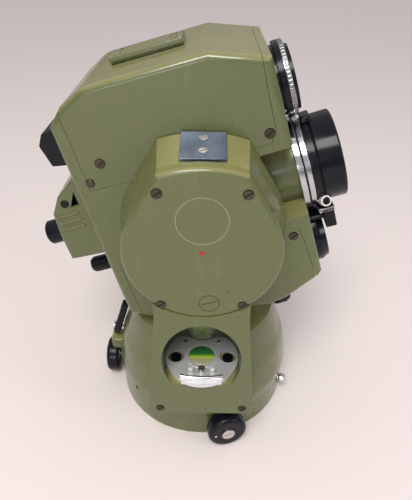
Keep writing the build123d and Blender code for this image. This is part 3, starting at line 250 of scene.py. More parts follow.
class MaterialMaker:
    """Builds the procedural materials on Object coordinates, one for each finish."""

    COAT_ROUGHNESS = 0.08
    # Painted light: normals in this band take the lit top colour, up to this share.
    LIT_TOP_BAND: Pair = (0.35, 0.98)
    LIT_TOP_SHARE = 0.7
    MOTTLE = Noise(38.0, 4.0, 0.42, 0.7)
    SCRATCH = Noise(260.0, 5.0, 0.66, 0.72, (1.0, 0.35, 0.12))
    SCRATCH_SHARE = 0.42
    SCRATCH_GAIN = 1.7
    SCRATCH_LIFT = 0.10
    SMUDGE = Noise(75.0, 6.0, 0.35, 0.75)
    SMUDGE_SPREAD = 0.22
    SMUDGE_DROP = 0.09
    GRAIN = Noise(900.0, 2.0, 0.3, 0.7)
    GRAIN_DEPTH = 0.0002
    VIAL_SPAN: Pair = (-0.0582, -0.0414)
    VIAL_STOPS = ((0.0, (0.50, 0.50, 0.34)), (0.3, (0.46, 0.50, 0.24)), (0.4, (0.62, 0.80, 0.04)),
                  (0.47, (0.20, 0.50, 0.05)), (0.56, (0.03, 0.22, 0.05)), (1.0, (0.02, 0.12, 0.04)))

    def __init__(self) -> None:
        """Start without materials."""
        self._made: dict[Look, bpy.types.Material] = {}

    def get(self, look: Look) -> bpy.types.Material:
        """Return the material of a finish, built on its first use.

        Args:
            look: The finish.

        Returns:
            The material.
        """
        if look not in self._made:
            self._made[look] = self._build(look)
        return self._made[look]

    @staticmethod
    def _node(tree: bpy.types.NodeTree, kind: str, **values: object) -> bpy.types.Node:
        """Add a node and set its attributes."""
        node = tree.nodes.new(kind)
        for key, value in values.items():
            setattr(node, key, value)
        return node

    def _noise(self, tree: bpy.types.NodeTree, kind: Noise) -> bpy.types.NodeSocket:
        """Add a noise and return its 0 to 1 output."""
        coordinates = self._node(tree, "ShaderNodeTexCoord")
        mapping = self._node(tree, "ShaderNodeMapping")
        mapping.inputs["Scale"].default_value = kind.stretch
        noise = self._node(tree, "ShaderNodeTexNoise")
        noise.inputs["Scale"].default_value = kind.scale
        noise.inputs["Detail"].default_value = kind.detail
        band = self._band(tree, (kind.low, kind.high))
        tree.links.new(coordinates.outputs["Object"], mapping.inputs["Vector"])
        tree.links.new(mapping.outputs["Vector"], noise.inputs["Vector"])
        tree.links.new(noise.outputs["Fac"], band.inputs["Value"])
        return band.outputs["Result"]

    def _band(self, tree: bpy.types.NodeTree, span: Pair) -> bpy.types.Node:
        """Add a node that maps a span of values to 0 to 1."""
        band = self._node(tree, "ShaderNodeMapRange")
        band.inputs["From Min"].default_value, band.inputs["From Max"].default_value = span
        return band

    def _mix(self, tree: bpy.types.NodeTree, factor: bpy.types.NodeSocket, first: object,
             second: object) -> bpy.types.NodeSocket:
        """Mix two colours, each a socket or a colour, by a factor socket."""
        mix = self._node(tree, "ShaderNodeMix", data_type="RGBA")
        tree.links.new(factor, mix.inputs["Factor"])
        for socket, value in ((mix.inputs[6], first), (mix.inputs[7], second)):
            if isinstance(value, bpy.types.NodeSocket):
                tree.links.new(value, socket)
            else:
                socket.default_value = (*value, 1.0)
        return mix.outputs[2]

    def _scaled(self, tree: bpy.types.NodeTree, value: bpy.types.NodeSocket, factor: float,
                added: float = 0.0) -> bpy.types.NodeSocket:
        """Multiply a value socket by a number and add another."""
        maths = self._node(tree, "ShaderNodeMath", operation="MULTIPLY_ADD")
        tree.links.new(value, maths.inputs[0])
        maths.inputs[1].default_value = factor
        maths.inputs[2].default_value = added
        return maths.outputs[0]

    def _vial_bands(self, tree: bpy.types.NodeTree, shader: bpy.types.Node) -> None:
        """Colour the vial from pale at its near edge through bright yellow-green to dark green."""
        coordinates = self._node(tree, "ShaderNodeTexCoord")
        split = self._node(tree, "ShaderNodeSeparateXYZ")
        band = self._band(tree, self.VIAL_SPAN)
        ramp = self._node(tree, "ShaderNodeValToRGB")
        set_ramp(ramp, self.VIAL_STOPS)
        tree.links.new(coordinates.outputs["Object"], split.inputs["Vector"])
        tree.links.new(split.outputs["Y"], band.inputs["Value"])
        tree.links.new(band.outputs["Result"], ramp.inputs["Fac"])
        tree.links.new(ramp.outputs["Color"], shader.inputs["Base Color"])

    def _lit_top_share(self, tree: bpy.types.NodeTree) -> bpy.types.NodeSocket:
        """Return the share of painted top light, which grows as a face turns upwards."""
        geometry = self._node(tree, "ShaderNodeNewGeometry")
        split = self._node(tree, "ShaderNodeSeparateXYZ")
        band = self._band(tree, self.LIT_TOP_BAND)
        tree.links.new(geometry.outputs["Normal"], split.inputs["Vector"])
        tree.links.new(split.outputs["Z"], band.inputs["Value"])
        return self._scaled(tree, band.outputs["Result"], self.LIT_TOP_SHARE)

    def _colour(self, tree: bpy.types.NodeTree, finish: Finish) -> object:
        """Return the colour of a finish with its painted top light, mottle and scratches, as a socket or as
        it is.
        """
        colour: object = finish.colour
        # Painted light: upward faces mix towards the paler, warmer lit top colour.
        if finish.lit_top_colour:
            colour = self._mix(tree, self._lit_top_share(tree), finish.colour, finish.lit_top_colour)
        if finish.mottle:
            darker = tuple(c * (1 - finish.mottle) for c in finish.colour)
            factor = self._scaled(tree, self._noise(tree, self.MOTTLE), finish.mottle)
            colour = self._mix(tree, factor, colour, darker)
        if finish.wear:
            paler = tuple(min(1.0, c * self.SCRATCH_GAIN + self.SCRATCH_LIFT) for c in finish.colour)
            factor = self._scaled(tree, self._noise(tree, self.SCRATCH), self.SCRATCH_SHARE * finish.wear)
            colour = self._mix(tree, factor, colour, paler)
        return colour

    def _build(self, look: Look) -> bpy.types.Material:
        """Build one material from its finish."""
        finish = look.value
        material = bpy.data.materials.new(look.name.lower())
        material.use_nodes = True
        tree = material.node_tree
        shader = tree.nodes["Principled BSDF"]
        shader.inputs["Base Color"].default_value = (*finish.colour, 1.0)
        shader.inputs["Metallic"].default_value = finish.metallic
        shader.inputs["Roughness"].default_value = finish.roughness
        shader.inputs["IOR"].default_value = finish.ior
        shader.inputs["Specular IOR Level"].default_value = finish.specular
        shader.inputs["Coat Weight"].default_value = finish.coat
        shader.inputs["Coat Roughness"].default_value = self.COAT_ROUGHNESS
        shader.inputs["Transmission Weight"].default_value = finish.transmission
        colour = self._colour(tree, finish)
        if isinstance(colour, bpy.types.NodeSocket):
            tree.links.new(colour, shader.inputs["Base Color"])
        if finish.mottle or finish.wear:
            smudge = self._scaled(tree, self._noise(tree, self.SMUDGE), self.SMUDGE_SPREAD,
                                  finish.roughness - self.SMUDGE_DROP)
            tree.links.new(smudge, shader.inputs["Roughness"])
        if look is Look.VIAL:
            self._vial_bands(tree, shader)
        if finish.bump:
            bump = self._node(tree, "ShaderNodeBump")
            bump.inputs["Strength"].default_value = finish.bump
            bump.inputs["Distance"].default_value = self.GRAIN_DEPTH
            tree.links.new(self._noise(tree, self.GRAIN), bump.inputs["Height"])
            tree.links.new(bump.outputs["Normal"], shader.inputs["Normal"])
        return material


@dataclass
class Surface:
    """A grid of points that becomes one mesh.

    Attributes:
        points: Array of rows, columns and three coordinates, in metres.
        closed: Whether the last column joins the first.
        capped: Whether the first and last rows are filled.
    """

    points: np.ndarray
    closed: bool = False
    capped: bool = False

    def mesh(self, name: str) -> bpy.types.Mesh:
        """Make the mesh with numpy index arithmetic.

        Args:
            name: Name of the mesh.

        Returns:
            The new mesh.
        """
        rows, columns = self.points.shape[:2]
        last = columns if self.closed else columns - 1
        row, column = np.meshgrid(np.arange(rows - 1), np.arange(last), indexing="ij")
        after = (column + 1) % columns
        quads = np.stack([row * columns + column, row * columns + after, (row + 1) * columns + after,
                          (row + 1) * columns + column], axis=-1).reshape(-1, 4)
        faces = quads.tolist()
        if self.capped:
            faces.append(list(range(columns))[::-1])
            faces.append(list(range((rows - 1) * columns, rows * columns)))
        mesh = bpy.data.meshes.new(name)
        mesh.from_pydata(self.points.reshape(-1, 3).tolist(), [], faces)
        mesh.validate()
        work = bmesh.new()
        work.from_mesh(mesh)
        bmesh.ops.recalc_face_normals(work, faces=work.faces)
        work.to_mesh(mesh)
        work.free()
        return mesh


def basis(axis: Sequence[float]) -> tuple[np.ndarray, np.ndarray, np.ndarray]:
    """Return two unit vectors across an axis and the axis itself.

    Args:
        axis: Direction of any length.

    Returns:
        The two cross vectors and the unit axis.
    """
    along = np.asarray(axis, dtype=float)
    along = along / np.linalg.norm(along)
    helper = np.array([0.0, 1.0, 0.0]) if abs(along[1]) < 0.9 else np.array([1.0, 0.0, 0.0])
    first = np.cross(helper, along)
    first /= np.linalg.norm(first)
    return first, np.cross(along, first), along


def turned(centre: Sequence[float], axis: Sequence[float], profile: Sequence[tuple[float, float]],
           steps: int = 96, wave: Optional[Callable[[np.ndarray], np.ndarray]] = None,
           capped: bool = True) -> Surface:
    """Turn a profile about an axis: each of its points becomes a circle across the axis.

    Args:
        centre: Start of the axis in metres.
        axis: Direction of the axis.
        profile: Pairs of distance along the axis and radius, in millimetres.
        steps: Number of columns round the axis.
        wave: Gives a change of radius in millimetres at each angle, such as a knurl.
        capped: Whether the ends are filled.

    Returns:
        The surface.
    """
    first, second, along = basis(axis)
    angle = np.linspace(0.0, 2 * math.pi, steps, endpoint=False)
    change = wave(angle) if wave else np.zeros_like(angle)
    round_trip = np.outer(np.cos(angle), first) + np.outer(np.sin(angle), second)
    rows = [np.asarray(centre) + MILLIMETRE * (distance * along + (radius + change)[:, None] * round_trip)
            for distance, radius in profile]
    return Surface(np.stack(rows), closed=True, capped=capped)


def swept(path: np.ndarray, radius: float, steps: int = 12) -> Surface:
    """Sweep a round section along a path: a circle across the path's tangent at each point.

    Args:
        path: Points in metres, one row each.
        radius: Radius in millimetres.
        steps: Number of columns round the section.

    Returns:
        The surface.
    """
    tangent = np.gradient(path, axis=0)
    angle = np.linspace(0.0, 2 * math.pi, steps, endpoint=False)
    rows = []
    for centre, along in zip(path, tangent):
        first, second, _ = basis(along)
        section = np.outer(np.cos(angle), first) + np.outer(np.sin(angle), second)
        rows.append(centre + MILLIMETRE * radius * section)
    return Surface(np.stack(rows), closed=True, capped=True)


def prism(corners: Sequence[np.ndarray], offset: np.ndarray) -> Surface:
    """Make a prism from its flat end and the way to its other end.

    Args:
        corners: Corners of the flat end in metres.
        offset: Way to the other end, in metres.

    Returns:
        The surface.
    """
    ring = np.asarray(corners, dtype=float)
    return Surface(np.stack([ring, ring + offset]), closed=True, capped=True)


class Builder:
    """Adds dressed pieces to the scene and shades the solids of the frame."""

    LOOK_OF = {
        Look.BLACK: ("level_screws", "levelling_knob_1", "levelling_knob_2", "levelling_knob_3",
                     "clamp_lever", "tangent_knob", "vertical_tangent_knob", "vertical_clamp_knob",
                     "sunshade", "upper_optic_cell", "lower_optic_cell", "objective_bracket",
                     "display_hood", "focus_ring", "eyepiece", "signal_knob"),
        Look.BLUE_BLACK: ("top_plate",),
        Look.CHROME: ("objective_cell", "upper_optic_ring", "level_adjuster"),
        Look.SATIN: ("level_plate",),
        Look.STEEL: ("levelling_shaft_1", "levelling_shaft_2", "levelling_shaft_3", "stop_pin", "clamp_pin",
                     "trunnions", "spindle", "top_plate_screws", "bar_screws"),
        Look.SCREW: ("cover_screws", "hood_screws", "base_screws"),
        Look.ALUMINIUM: ("base_plate",),
        Look.BRASS: ("axis_bush", "trunnion_bushes", "reticle_cell"),
        Look.GLASS: ("objective_lens", "focusing_lens", "meter_lenses"),
        Look.CLEAR: ("horizontal_circle", "vertical_circle"),
        Look.VIAL: ("level_vial",),
        Look.RED: ("height_mark",),
        Look.BOARD: ("circuit_board",),
    }
    EDGE_WIDTH = {
        "upper_hood": 0.7, "lower_hood": 0.7, "housing_frame": 0.5, "near_standard": 0.6, "far_standard": 0.6,
        "eyepiece_box": 0.6, "display_hood": 0.5, "clamp_housing": 0.6, "bell_housing": 0.6,
        "near_cover": 0.3, "far_cover": 0.3, "base_ring": 0.4, "accessory_bar": 0.4, "level_plate": 0.25,
        "clamp_lever": 0.5, "objective_cell": 0.3, "sunshade": 0.35, "upper_optic_ring": 0.3,
    }
    DEFAULT_EDGE = 0.18
    UNBEVELLED = ("front_panel", "cover_plug", "axis_bush", "horizontal_circle", "telescope_tube")
    WELD_DISTANCE = 0.000002
    BEVEL_SEGMENTS = 3
    NORMAL_WEIGHT = 80
    SOLID_ANGLE = math.radians(32)
    PIECE_BEVEL_ANGLE = math.radians(35)
    PIECE_SPLIT_ANGLE = math.radians(40)

    def __init__(self) -> None:
        """Start with no material made."""
        self.materials = MaterialMaker()
        self.look_of = {node: look for look, nodes in self.LOOK_OF.items() for node in nodes}

    def shade_nodes(self) -> None:
        """Give each solid its material, smooth faces and small bevels on its edges."""
        for obj in list(bpy.data.objects):
            if obj.type != "MESH":
                continue
            look = self.look_of.get(obj.name, Look.OLIVE)
            obj.data.materials.clear()
            obj.data.materials.append(self.materials.get(look))
            width = 0.0 if obj.name in self.UNBEVELLED else self.EDGE_WIDTH.get(obj.name, self.DEFAULT_EDGE)
            self._soften(obj, width)
            LOG.info("shaded %s as %s", obj.name, look.name.lower())

    def _soften(self, obj: bpy.types.Object, width: float) -> None:
        """Join the loose triangles of a solid, bevel its edges and weight its normals."""
        mesh = obj.data
        mesh.polygons.foreach_set("use_smooth", np.ones(len(mesh.polygons), dtype=bool))
        if mesh.has_custom_normals:
            bpy.context.view_layer.objects.active = obj
            with bpy.context.temp_override(object=obj, active_object=obj):
                bpy.ops.mesh.customdata_custom_splitnormals_clear()
        weld = obj.modifiers.new("weld", "WELD")
        weld.merge_threshold = self.WELD_DISTANCE
        if not width:
            self._split(obj, self.SOLID_ANGLE)
            return
        bevel = self._bevel(obj, width, self.SOLID_ANGLE)
        bevel.use_clamp_overlap = True
        bevel.harden_normals = False
        weighted = obj.modifiers.new("weighted", "WEIGHTED_NORMAL")
        weighted.keep_sharp = True
        weighted.weight = self.NORMAL_WEIGHT

    def _bevel(self, obj: bpy.types.Object, width: float, angle: float) -> bpy.types.Modifier:
        """Round the edges of an object that are sharper than an angle, by a width in millimetres."""
        bevel = obj.modifiers.new("bevel", "BEVEL")
        bevel.width = width * MILLIMETRE
        bevel.segments = self.BEVEL_SEGMENTS
        bevel.limit_method = "ANGLE"
        bevel.angle_limit = angle
        return bevel

    @staticmethod
    def _split(obj: bpy.types.Object, angle: float) -> None:
        """Keep the edges of an object that are sharper than an angle sharp."""
        split = obj.modifiers.new("split", "EDGE_SPLIT")
        split.split_angle = angle

    def add(self, name: str, surface: Surface, look: Look, slot: Slot, body: Body, smooth: bool = True,
            edge: float = 0.0) -> bpy.types.Object:
        """Add one piece at the origin and let it ride on a body.

        Args:
            name: Name of the piece.
            surface: Its shape.
            look: Its finish.
            slot: Record slot of the piece; passed on, not used.
            body: Body that carries it.
            smooth: Whether its faces are smooth.
            edge: Bevel width in millimetres, or 0 for none.

        Returns:
            The new object.
        """
        obj = self.finish_mesh(name, surface.mesh(name), look, slot, body, smooth)
        if edge:
            self._bevel(obj, edge, self.PIECE_BEVEL_ANGLE)
        if smooth:
            self._split(obj, self.PIECE_SPLIT_ANGLE)
        return obj

    def finish_mesh(self, name: str, mesh: bpy.types.Mesh, look: Look, slot: Slot, body: Body,
                    smooth: bool = True) -> bpy.types.Object:
        """Turn a mesh into a shaded piece that rides on a body.

        Args:
            name: Name of the piece.
            mesh: Its mesh, in world metres.
            look: Its finish.
            slot: Record slot of the piece; not used.
            body: Body that carries it.
            smooth: Whether its faces are smooth.

        Returns:
            The new object.
        """
        mesh.materials.append(self.materials.get(look))
        mesh.polygons.foreach_set("use_smooth", np.full(len(mesh.polygons), smooth))
        obj = bpy.data.objects.new(name, mesh)
        bpy.context.scene.collection.objects.link(obj)
        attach(obj, body.value)
        LOG.info("added %s on %s", name, body.value)
        return obj


@dataclass
class Assembly:
    """Added pieces of one sub-assembly.

    Attributes:
        builder: Shades the pieces and lets them ride on their bodies.
    """

    builder: Builder

    def build(self) -> None:
        """Add the pieces."""
        raise NotImplementedError


@dataclass
class CoverMarks(Assembly):
    """Engraved ring on the near cover and small dots on it and on the panel.

    Attributes:
        ring_radius: Mean radius of the ring, in millimetres as all sizes here.
        ring_height: Height of its centre.
        ring_half_width: Half the width of its line.
        ring_lift: Distance of the line in front of the cover.
        dot_spots: Across and up for each dot.
        dot_sink: Depth at which a dot starts in the cover.
        dot_profile: Distance outwards and radius of a dot.
    """

    ring_radius: float = 13.2
    ring_height: float = 180.9
    ring_half_width: float = 0.14
    ring_lift: float = 0.02
    dot_spots: Profile = ((14.2, 137.3), (3.3, 38.9))
    dot_sink: float = 0.2
    dot_profile: Profile = ((0.0, 0.55), (0.24, 0.5))

    def build(self) -> None:
        """Add the ring, a circle at two radii, and the dots, turned profiles."""
        angle = np.linspace(0.0, 2 * math.pi, 161)
        centre = cover_point((0.0, self.ring_height), self.ring_lift)
        round_trip = np.stack([np.cos(angle), np.zeros_like(angle), np.sin(angle)], axis=-1)
        radii = (self.ring_radius - self.ring_half_width, self.ring_radius + self.ring_half_width)
        rows = [centre + MILLIMETRE * radius * round_trip for radius in radii]
        self.builder.add("mark_ring", Surface(np.stack(rows)), Look.ENGRAVING, Slot.OLIVE, Body.ALIDADE)
        for number, spot in enumerate(self.dot_spots, start=1):
            dot = turned(cover_point(spot, -self.dot_sink), TO_THE_NEAR_SIDE, self.dot_profile, steps=24)
            self.builder.add(f"panel_dot_{number}", dot, Look.SHADOW, Slot.OLIVE, Body.ALIDADE)


@dataclass
class ScrewShade(Assembly):
    """Painted shade: dark rings round the screws for the shade in their recesses, a dark ring round the plug,
    and dark bars for the shade in their slots.

    Attributes:
        ring: Inner and outer radius of a screw's ring, in millimetres as all sizes here.
        ring_lift: Distance of a ring in front of its face.
        slot_half_length: Half the length of a slot's floor.
        slot_half_width: Half its width.
        slot_lift: Distance of a slot's floor in front of its face.
        cover_spots: Across and up for each screw of the near cover.
        cover_turn: Turn of these screws' slots, in degrees.
        panel_spots: Across and up for each screw of the front panel.
        panel_turn: Turn of these screws' slots, in degrees.
        plug_spot: Across and up for the plug.
        plug_ring: Inner and outer radius of the plug's ring.
        hood_spots: Along and above the optical axis for each screw of the hoods.
        hood_turn: Turn of these screws' slots, in degrees.
        hood_face: Place across of the hoods' near face.
    """

    ring: Pair = (2.42, 2.85)
    ring_lift: float = 0.03
    slot_half_length: float = 2.3
    slot_half_width: float = 0.42
    slot_lift: float = 0.18
    cover_spots: Profile = ((-21.6, 196.1), (21.6, 196.1), (-22.4, 127.8), (22.4, 127.8))
    cover_turn: float = 35.0
    panel_spots: Profile = ((-26.7, 38.8), (26.7, 38.8))
    panel_turn: float = 50.0
    plug_spot: Pair = (4.1, 128.9)
    plug_ring: Pair = (5.35, 5.75)
    hood_spots: Profile = ((-40.2, 49.8), (48.0, 39.0), (46.5, -24.5), (-48.0, -24.5))
    hood_turn: float = 30.0
    hood_face: float = -40.0

    def build(self) -> None:
        """Paint the shade round and in the screws on the standard and on the hoods."""
        # Painted shade: dark rings round the screw heads and a dark bar in each slot.
        right, above = np.array([1.0, 0.0, 0.0]), np.array([0.0, 0.0, 1.0])
        spots = [(spot, self.cover_turn) for spot in self.cover_spots]
        spots += [(spot, self.panel_turn) for spot in self.panel_spots]
        rings = [self._ring(cover_point(spot, self.ring_lift), right, above, self.ring) for spot, _ in spots]
        rings.append(self._ring(cover_point(self.plug_spot, self.ring_lift), right, above, self.plug_ring))
        self._group("cover_screw_rings", rings, Body.ALIDADE)
        bars = [self._bar(cover_point(spot, self.slot_lift), right, above, turn) for spot, turn in spots]
        self._group("cover_screw_slots", bars, Body.ALIDADE)
        right, above = direction(1, 0, 0), direction(0, 0, 1)
        rings = [self._ring(place(u, self.hood_face - self.ring_lift, w), right, above, self.ring)
                 for u, w in self.hood_spots]
        self._group("hood_screw_rings", rings, Body.TELESCOPE)
        bars = [self._bar(place(u, self.hood_face - self.slot_lift, w), right, above, self.hood_turn)
                for u, w in self.hood_spots]
        self._group("hood_screw_slots", bars, Body.TELESCOPE)

    @staticmethod
    def _ring(centre: np.ndarray, right: np.ndarray, above: np.ndarray, radii: Pair) -> np.ndarray:
        """Return the points of a flat ring, a circle at two radii, as two rows."""
        angle = np.linspace(0.0, 2 * math.pi, 49)
        round_trip = np.outer(np.cos(angle), right) + np.outer(np.sin(angle), above)
        return np.stack([centre + MILLIMETRE * radius * round_trip for radius in radii])

    def _bar(self, centre: np.ndarray, right: np.ndarray, above: np.ndarray, degrees: float) -> np.ndarray:
        """Return the points of a flat turned bar, a line at two offsets, as two rows."""
        turn = math.radians(degrees)
        along = math.cos(turn) * right + math.sin(turn) * above
        across = -math.sin(turn) * right + math.cos(turn) * above
        line = np.outer(np.linspace(-self.slot_half_length, self.slot_half_length, 49), along)
        return np.stack([centre + MILLIMETRE * (line + side * self.slot_half_width * across)
                         for side in (-1, 1)])

    def _group(self, name: str, sheets: Sequence[np.ndarray], body: Body) -> None:
        """Join flat two-row sheets into one shadow piece on a body."""
        columns = sheets[0].shape[1]
        column = np.arange(columns - 1)
        quads = np.stack([column, column + 1, columns + column + 1, columns + column], axis=-1)
        starts = 2 * columns * np.arange(len(sheets))
        faces = (starts[:, None, None] + quads[None]).reshape(-1, 4)
        mesh = bpy.data.meshes.new(name)
        mesh.from_pydata(np.concatenate([sheet.reshape(-1, 3) for sheet in sheets]).tolist(), [],
                         faces.tolist())
        self.builder.finish_mesh(name, mesh, Look.SHADOW, Slot.SCREW, body)


@dataclass
class Niche(Assembly):
    """Rounded column, and a dark sheet painted as the shade in the pocket behind the circular level.

    Attributes:
        column_span: Lowest and highest point of the column, in millimetres as all sizes here.
        column_grid: Rows and columns of its surface.
        front_line: Heights, and the place across of the column's front at each.
        radius_line: Heights, and the column's radius at each.
        pocket_half_width: Half the width of the pocket's wall.
        pocket_span: Its lowest and highest point.
        pocket_wall: Its place across.
        pocket_hollow: How far its sides stand forward of its middle.
        pocket_grid: Columns and rows of its surface.
    """

    column_span: Pair = (65.1, 114.5)
    column_grid: tuple[int, int] = (60, 49)
    front_line: Line = ((65.0, 68.0, 74.0, 100.0, 109.0, 114.5), (-34.4, -37.5, -43.5, -62.0, -68.0, -70.7))
    radius_line: Line = ((65.0, 67.0, 76.0, 114.5), (15.0, 13.0, 10.8, 10.0))
    pocket_half_width: float = 21.0
    pocket_span: Pair = (77.7, 112.0)
    pocket_wall: float = -44.62
    pocket_hollow: float = 0.5
    pocket_grid: tuple[int, int] = (43, 30)

    def build(self) -> None:
        """Add the column, half circles along a leaning line, and the pocket's painted shade, a dark parabola
        drawn upwards.
        """
        rows, columns = self.column_grid
        heights = np.linspace(*self.column_span, rows)
        front = np.interp(heights, *self.front_line)
        radius = np.interp(heights, *self.radius_line)
        angle = np.linspace(0.0, math.pi, columns)
        x = radius[:, None] * np.cos(angle)[None, :]
        y = (front + radius)[:, None] - radius[:, None] * np.sin(angle)[None, :]
        points = MILLIMETRE * np.stack([x, y, np.broadcast_to(heights[:, None], x.shape)], axis=-1)
        self.builder.add("niche_column", Surface(points), Look.OLIVE, Slot.OLIVE, Body.ALIDADE)
        columns, rows = self.pocket_grid
        half = self.pocket_half_width
        x, z = np.meshgrid(np.linspace(-half, half, columns), np.linspace(*self.pocket_span, rows))
        y = self.pocket_wall - self.pocket_hollow * (x / half) ** 2
        points = MILLIMETRE * np.stack([x, y, z], axis=-1)
        # Painted shade: a dark sheet in front of the niche wall stands in for its shadow.
        self.builder.add("niche_pocket", Surface(points), Look.SHADED_POCKET, Slot.OLIVE, Body.ALIDADE)


@dataclass
class LevelFittings(Assembly):
    """Posts, studs and the rolled chrome lip on the circular level's plate.

    Attributes:
        floor: Height of the plate's top, in millimetres as all sizes here.
        post_spots: Along and across for each post.
        post_profile: Distance upwards and radius of a post.
        lip_half_width: Half the length of the lip.
        lip_front: Place across of the lip's middle.
        lip_bend: How far the lip's ends lie behind its middle.
        lip_rolls: Name, height, radius and finish of each roll of the lip.
        stud_spots: Along and across for each stud.
        stud_profile: Distance upwards and radius of a stud.
    """

    floor: float = 65.0
    post_spots: Profile = ((-7.0, -64.0), (7.0, -64.0))
    post_profile: Profile = ((0.0, 1.7), (0.6, 1.7), (0.9, 1.25), (2.6, 1.25), (2.9, 1.7), (3.7, 1.7),
                             (4.0, 1.2))
    lip_half_width: float = 13.4
    lip_front: float = -70.2
    lip_bend: float = 1.6
    lip_rolls: tuple[tuple[str, float, float, Look], ...] = (
        ("level_lip", 67.4, 1.15, Look.CHROME), ("level_lip_foot", 65.5, 1.3, Look.SATIN))
    stud_spots: Profile = ((-11.2, -36.9), (11.2, -36.9))
    stud_profile: Profile = ((0.0, 1.2), (0.5, 1.15), (0.75, 0.6))

    def build(self) -> None:
        """Add the posts and studs, turned profiles, and the lip, circles along a parabola."""
        # Painted highlight: the chrome posts are drawn in flat white for their bright reflections.
        self._upright("level_post", self.post_spots, self.post_profile, 32, Look.WHITE)
        sweep = np.linspace(-1.0, 1.0, 49)
        x = MILLIMETRE * self.lip_half_width * sweep
        y = MILLIMETRE * (self.lip_front + self.lip_bend * sweep ** 2)
        for name, height, radius, look in self.lip_rolls:
            path = np.stack([x, y, np.full_like(x, MILLIMETRE * height)], axis=-1)
            self.builder.add(name, swept(path, radius, steps=24), look, Slot.CHROME, Body.ALIDADE)
        self._upright("level_stud", self.stud_spots, self.stud_profile, 24, Look.CHROME)

    def _upright(self, name: str, spots: Profile, profile: Profile, steps: int, look: Look) -> None:
        """Add one numbered turned piece on the plate at each spot."""
        for number, (x, y) in enumerate(spots, start=1):
            piece = turned(MILLIMETRE * np.array([x, y, self.floor]), UPWARDS, profile, steps=steps)
            self.builder.add(f"{name}_{number}", piece, look, Slot.CHROME, Body.ALIDADE)


@dataclass
class LevellingTrim(Assembly):
    """Thin spurred disc behind each levelling knob and the dot on its face.

    Attributes:
        azimuths: Direction of each knob from the vertical axis, in degrees.
        height: Height of the knobs' axes, in millimetres as all sizes here.
        disc_stand: Distance of a disc's back from the vertical axis.
        disc_profile: Distance outwards and radius of a disc.
        spur_turn: Place of the spur round the disc, in degrees.
        spur_length: How far the spur stands out.
        spur_half_angle: Half the angle that the spur takes, in radians.
        spur_sharpness: Power that makes the spur pointed.
        dot_stand: Distance of a dot's back from the vertical axis.
        dot_offset: How far the dot lies beside the knob's axis.
        dot_drop: How far it lies below the axis.
        dot_profile: Distance outwards and radius of a dot.
    """

    azimuths: tuple[float, ...] = (-75.6, 180.0, 52.2)
    height: float = 14.0
    disc_stand: float = 64.6
    disc_profile: Profile = ((0.0, 8.0), (0.3, 12.2), (1.9, 12.2), (2.2, 8.0))
    spur_turn: float = 140.0
    spur_length: float = 3.2
    spur_half_angle: float = 0.32
    spur_sharpness: float = 1.6
    dot_stand: float = 74.7
    dot_offset: float = 8.6
    dot_drop: float = 0.6
    dot_profile: Profile = ((0.0, 0.8), (0.32, 0.7), (0.36, 0.3))

    def build(self) -> None:
        """Add the discs on the base and the dots on their knobs, all turned profiles."""
        for number, azimuth in enumerate(self.azimuths, start=1):
            outward, sideways = round_base(azimuth)
            level = np.array([0.0, 0.0, self.height])
            disc = turned(MILLIMETRE * (self.disc_stand * outward + level), outward, self.disc_profile,
                          steps=144, wave=self._spur)
            self.builder.add(f"knob_disc_{number}", disc, Look.BLACK, Slot.BLACK, Body.BASE)
            spot = self.dot_stand * outward + level - self.dot_offset * sideways - self.dot_drop * UPWARDS
            dot = turned(MILLIMETRE * spot, outward, self.dot_profile, steps=24)
            obj = self.builder.add(f"knob_dot_{number}", dot, Look.WHITE, Slot.BLACK, Body.BASE)
            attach(obj, f"levelling_{number}")

    def _spur(self, angle: np.ndarray) -> np.ndarray:
        """Return the radius change of one pointed spur: a power of the distance to its edge."""
        away = np.abs((angle - math.radians(self.spur_turn) + math.pi) % (2 * math.pi) - math.pi)
        return self.spur_length * np.clip(1 - away / self.spur_half_angle, 0, 1) ** self.spur_sharpness


@dataclass
class BellSlotShade(Assembly):
    """Dark flat piece painted as the shade in a narrow slot low on the bell's near left.

    Attributes:
        azimuth: Direction of the slot from the vertical axis, in degrees.
        stand: Distance of its back from the axis, in millimetres as all sizes here.
        depth: How far it reaches outwards.
        half_width: Half its width.
        span: Its lowest and highest point.
    """

    azimuth: float = 222.0
    stand: float = 62.0
    depth: float = 0.75
    half_width: float = 1.1
    span: Pair = (21.9, 25.0)

    def build(self) -> None:
        """Add the slot's painted shade as a flat prism."""
        outward, sideways = round_base(self.azimuth)
        low, high = self.span
        half = self.half_width
        corners = [MILLIMETRE * (self.stand * outward + side * sideways + height * UPWARDS)
                   for side, height in ((-half, low), (half, low), (half, high), (-half, high))]
        slot = prism(corners, MILLIMETRE * self.depth * outward)
        self.builder.add("bell_slot", slot, Look.DARK, Slot.OLIVE, Body.ALIDADE, smooth=False)


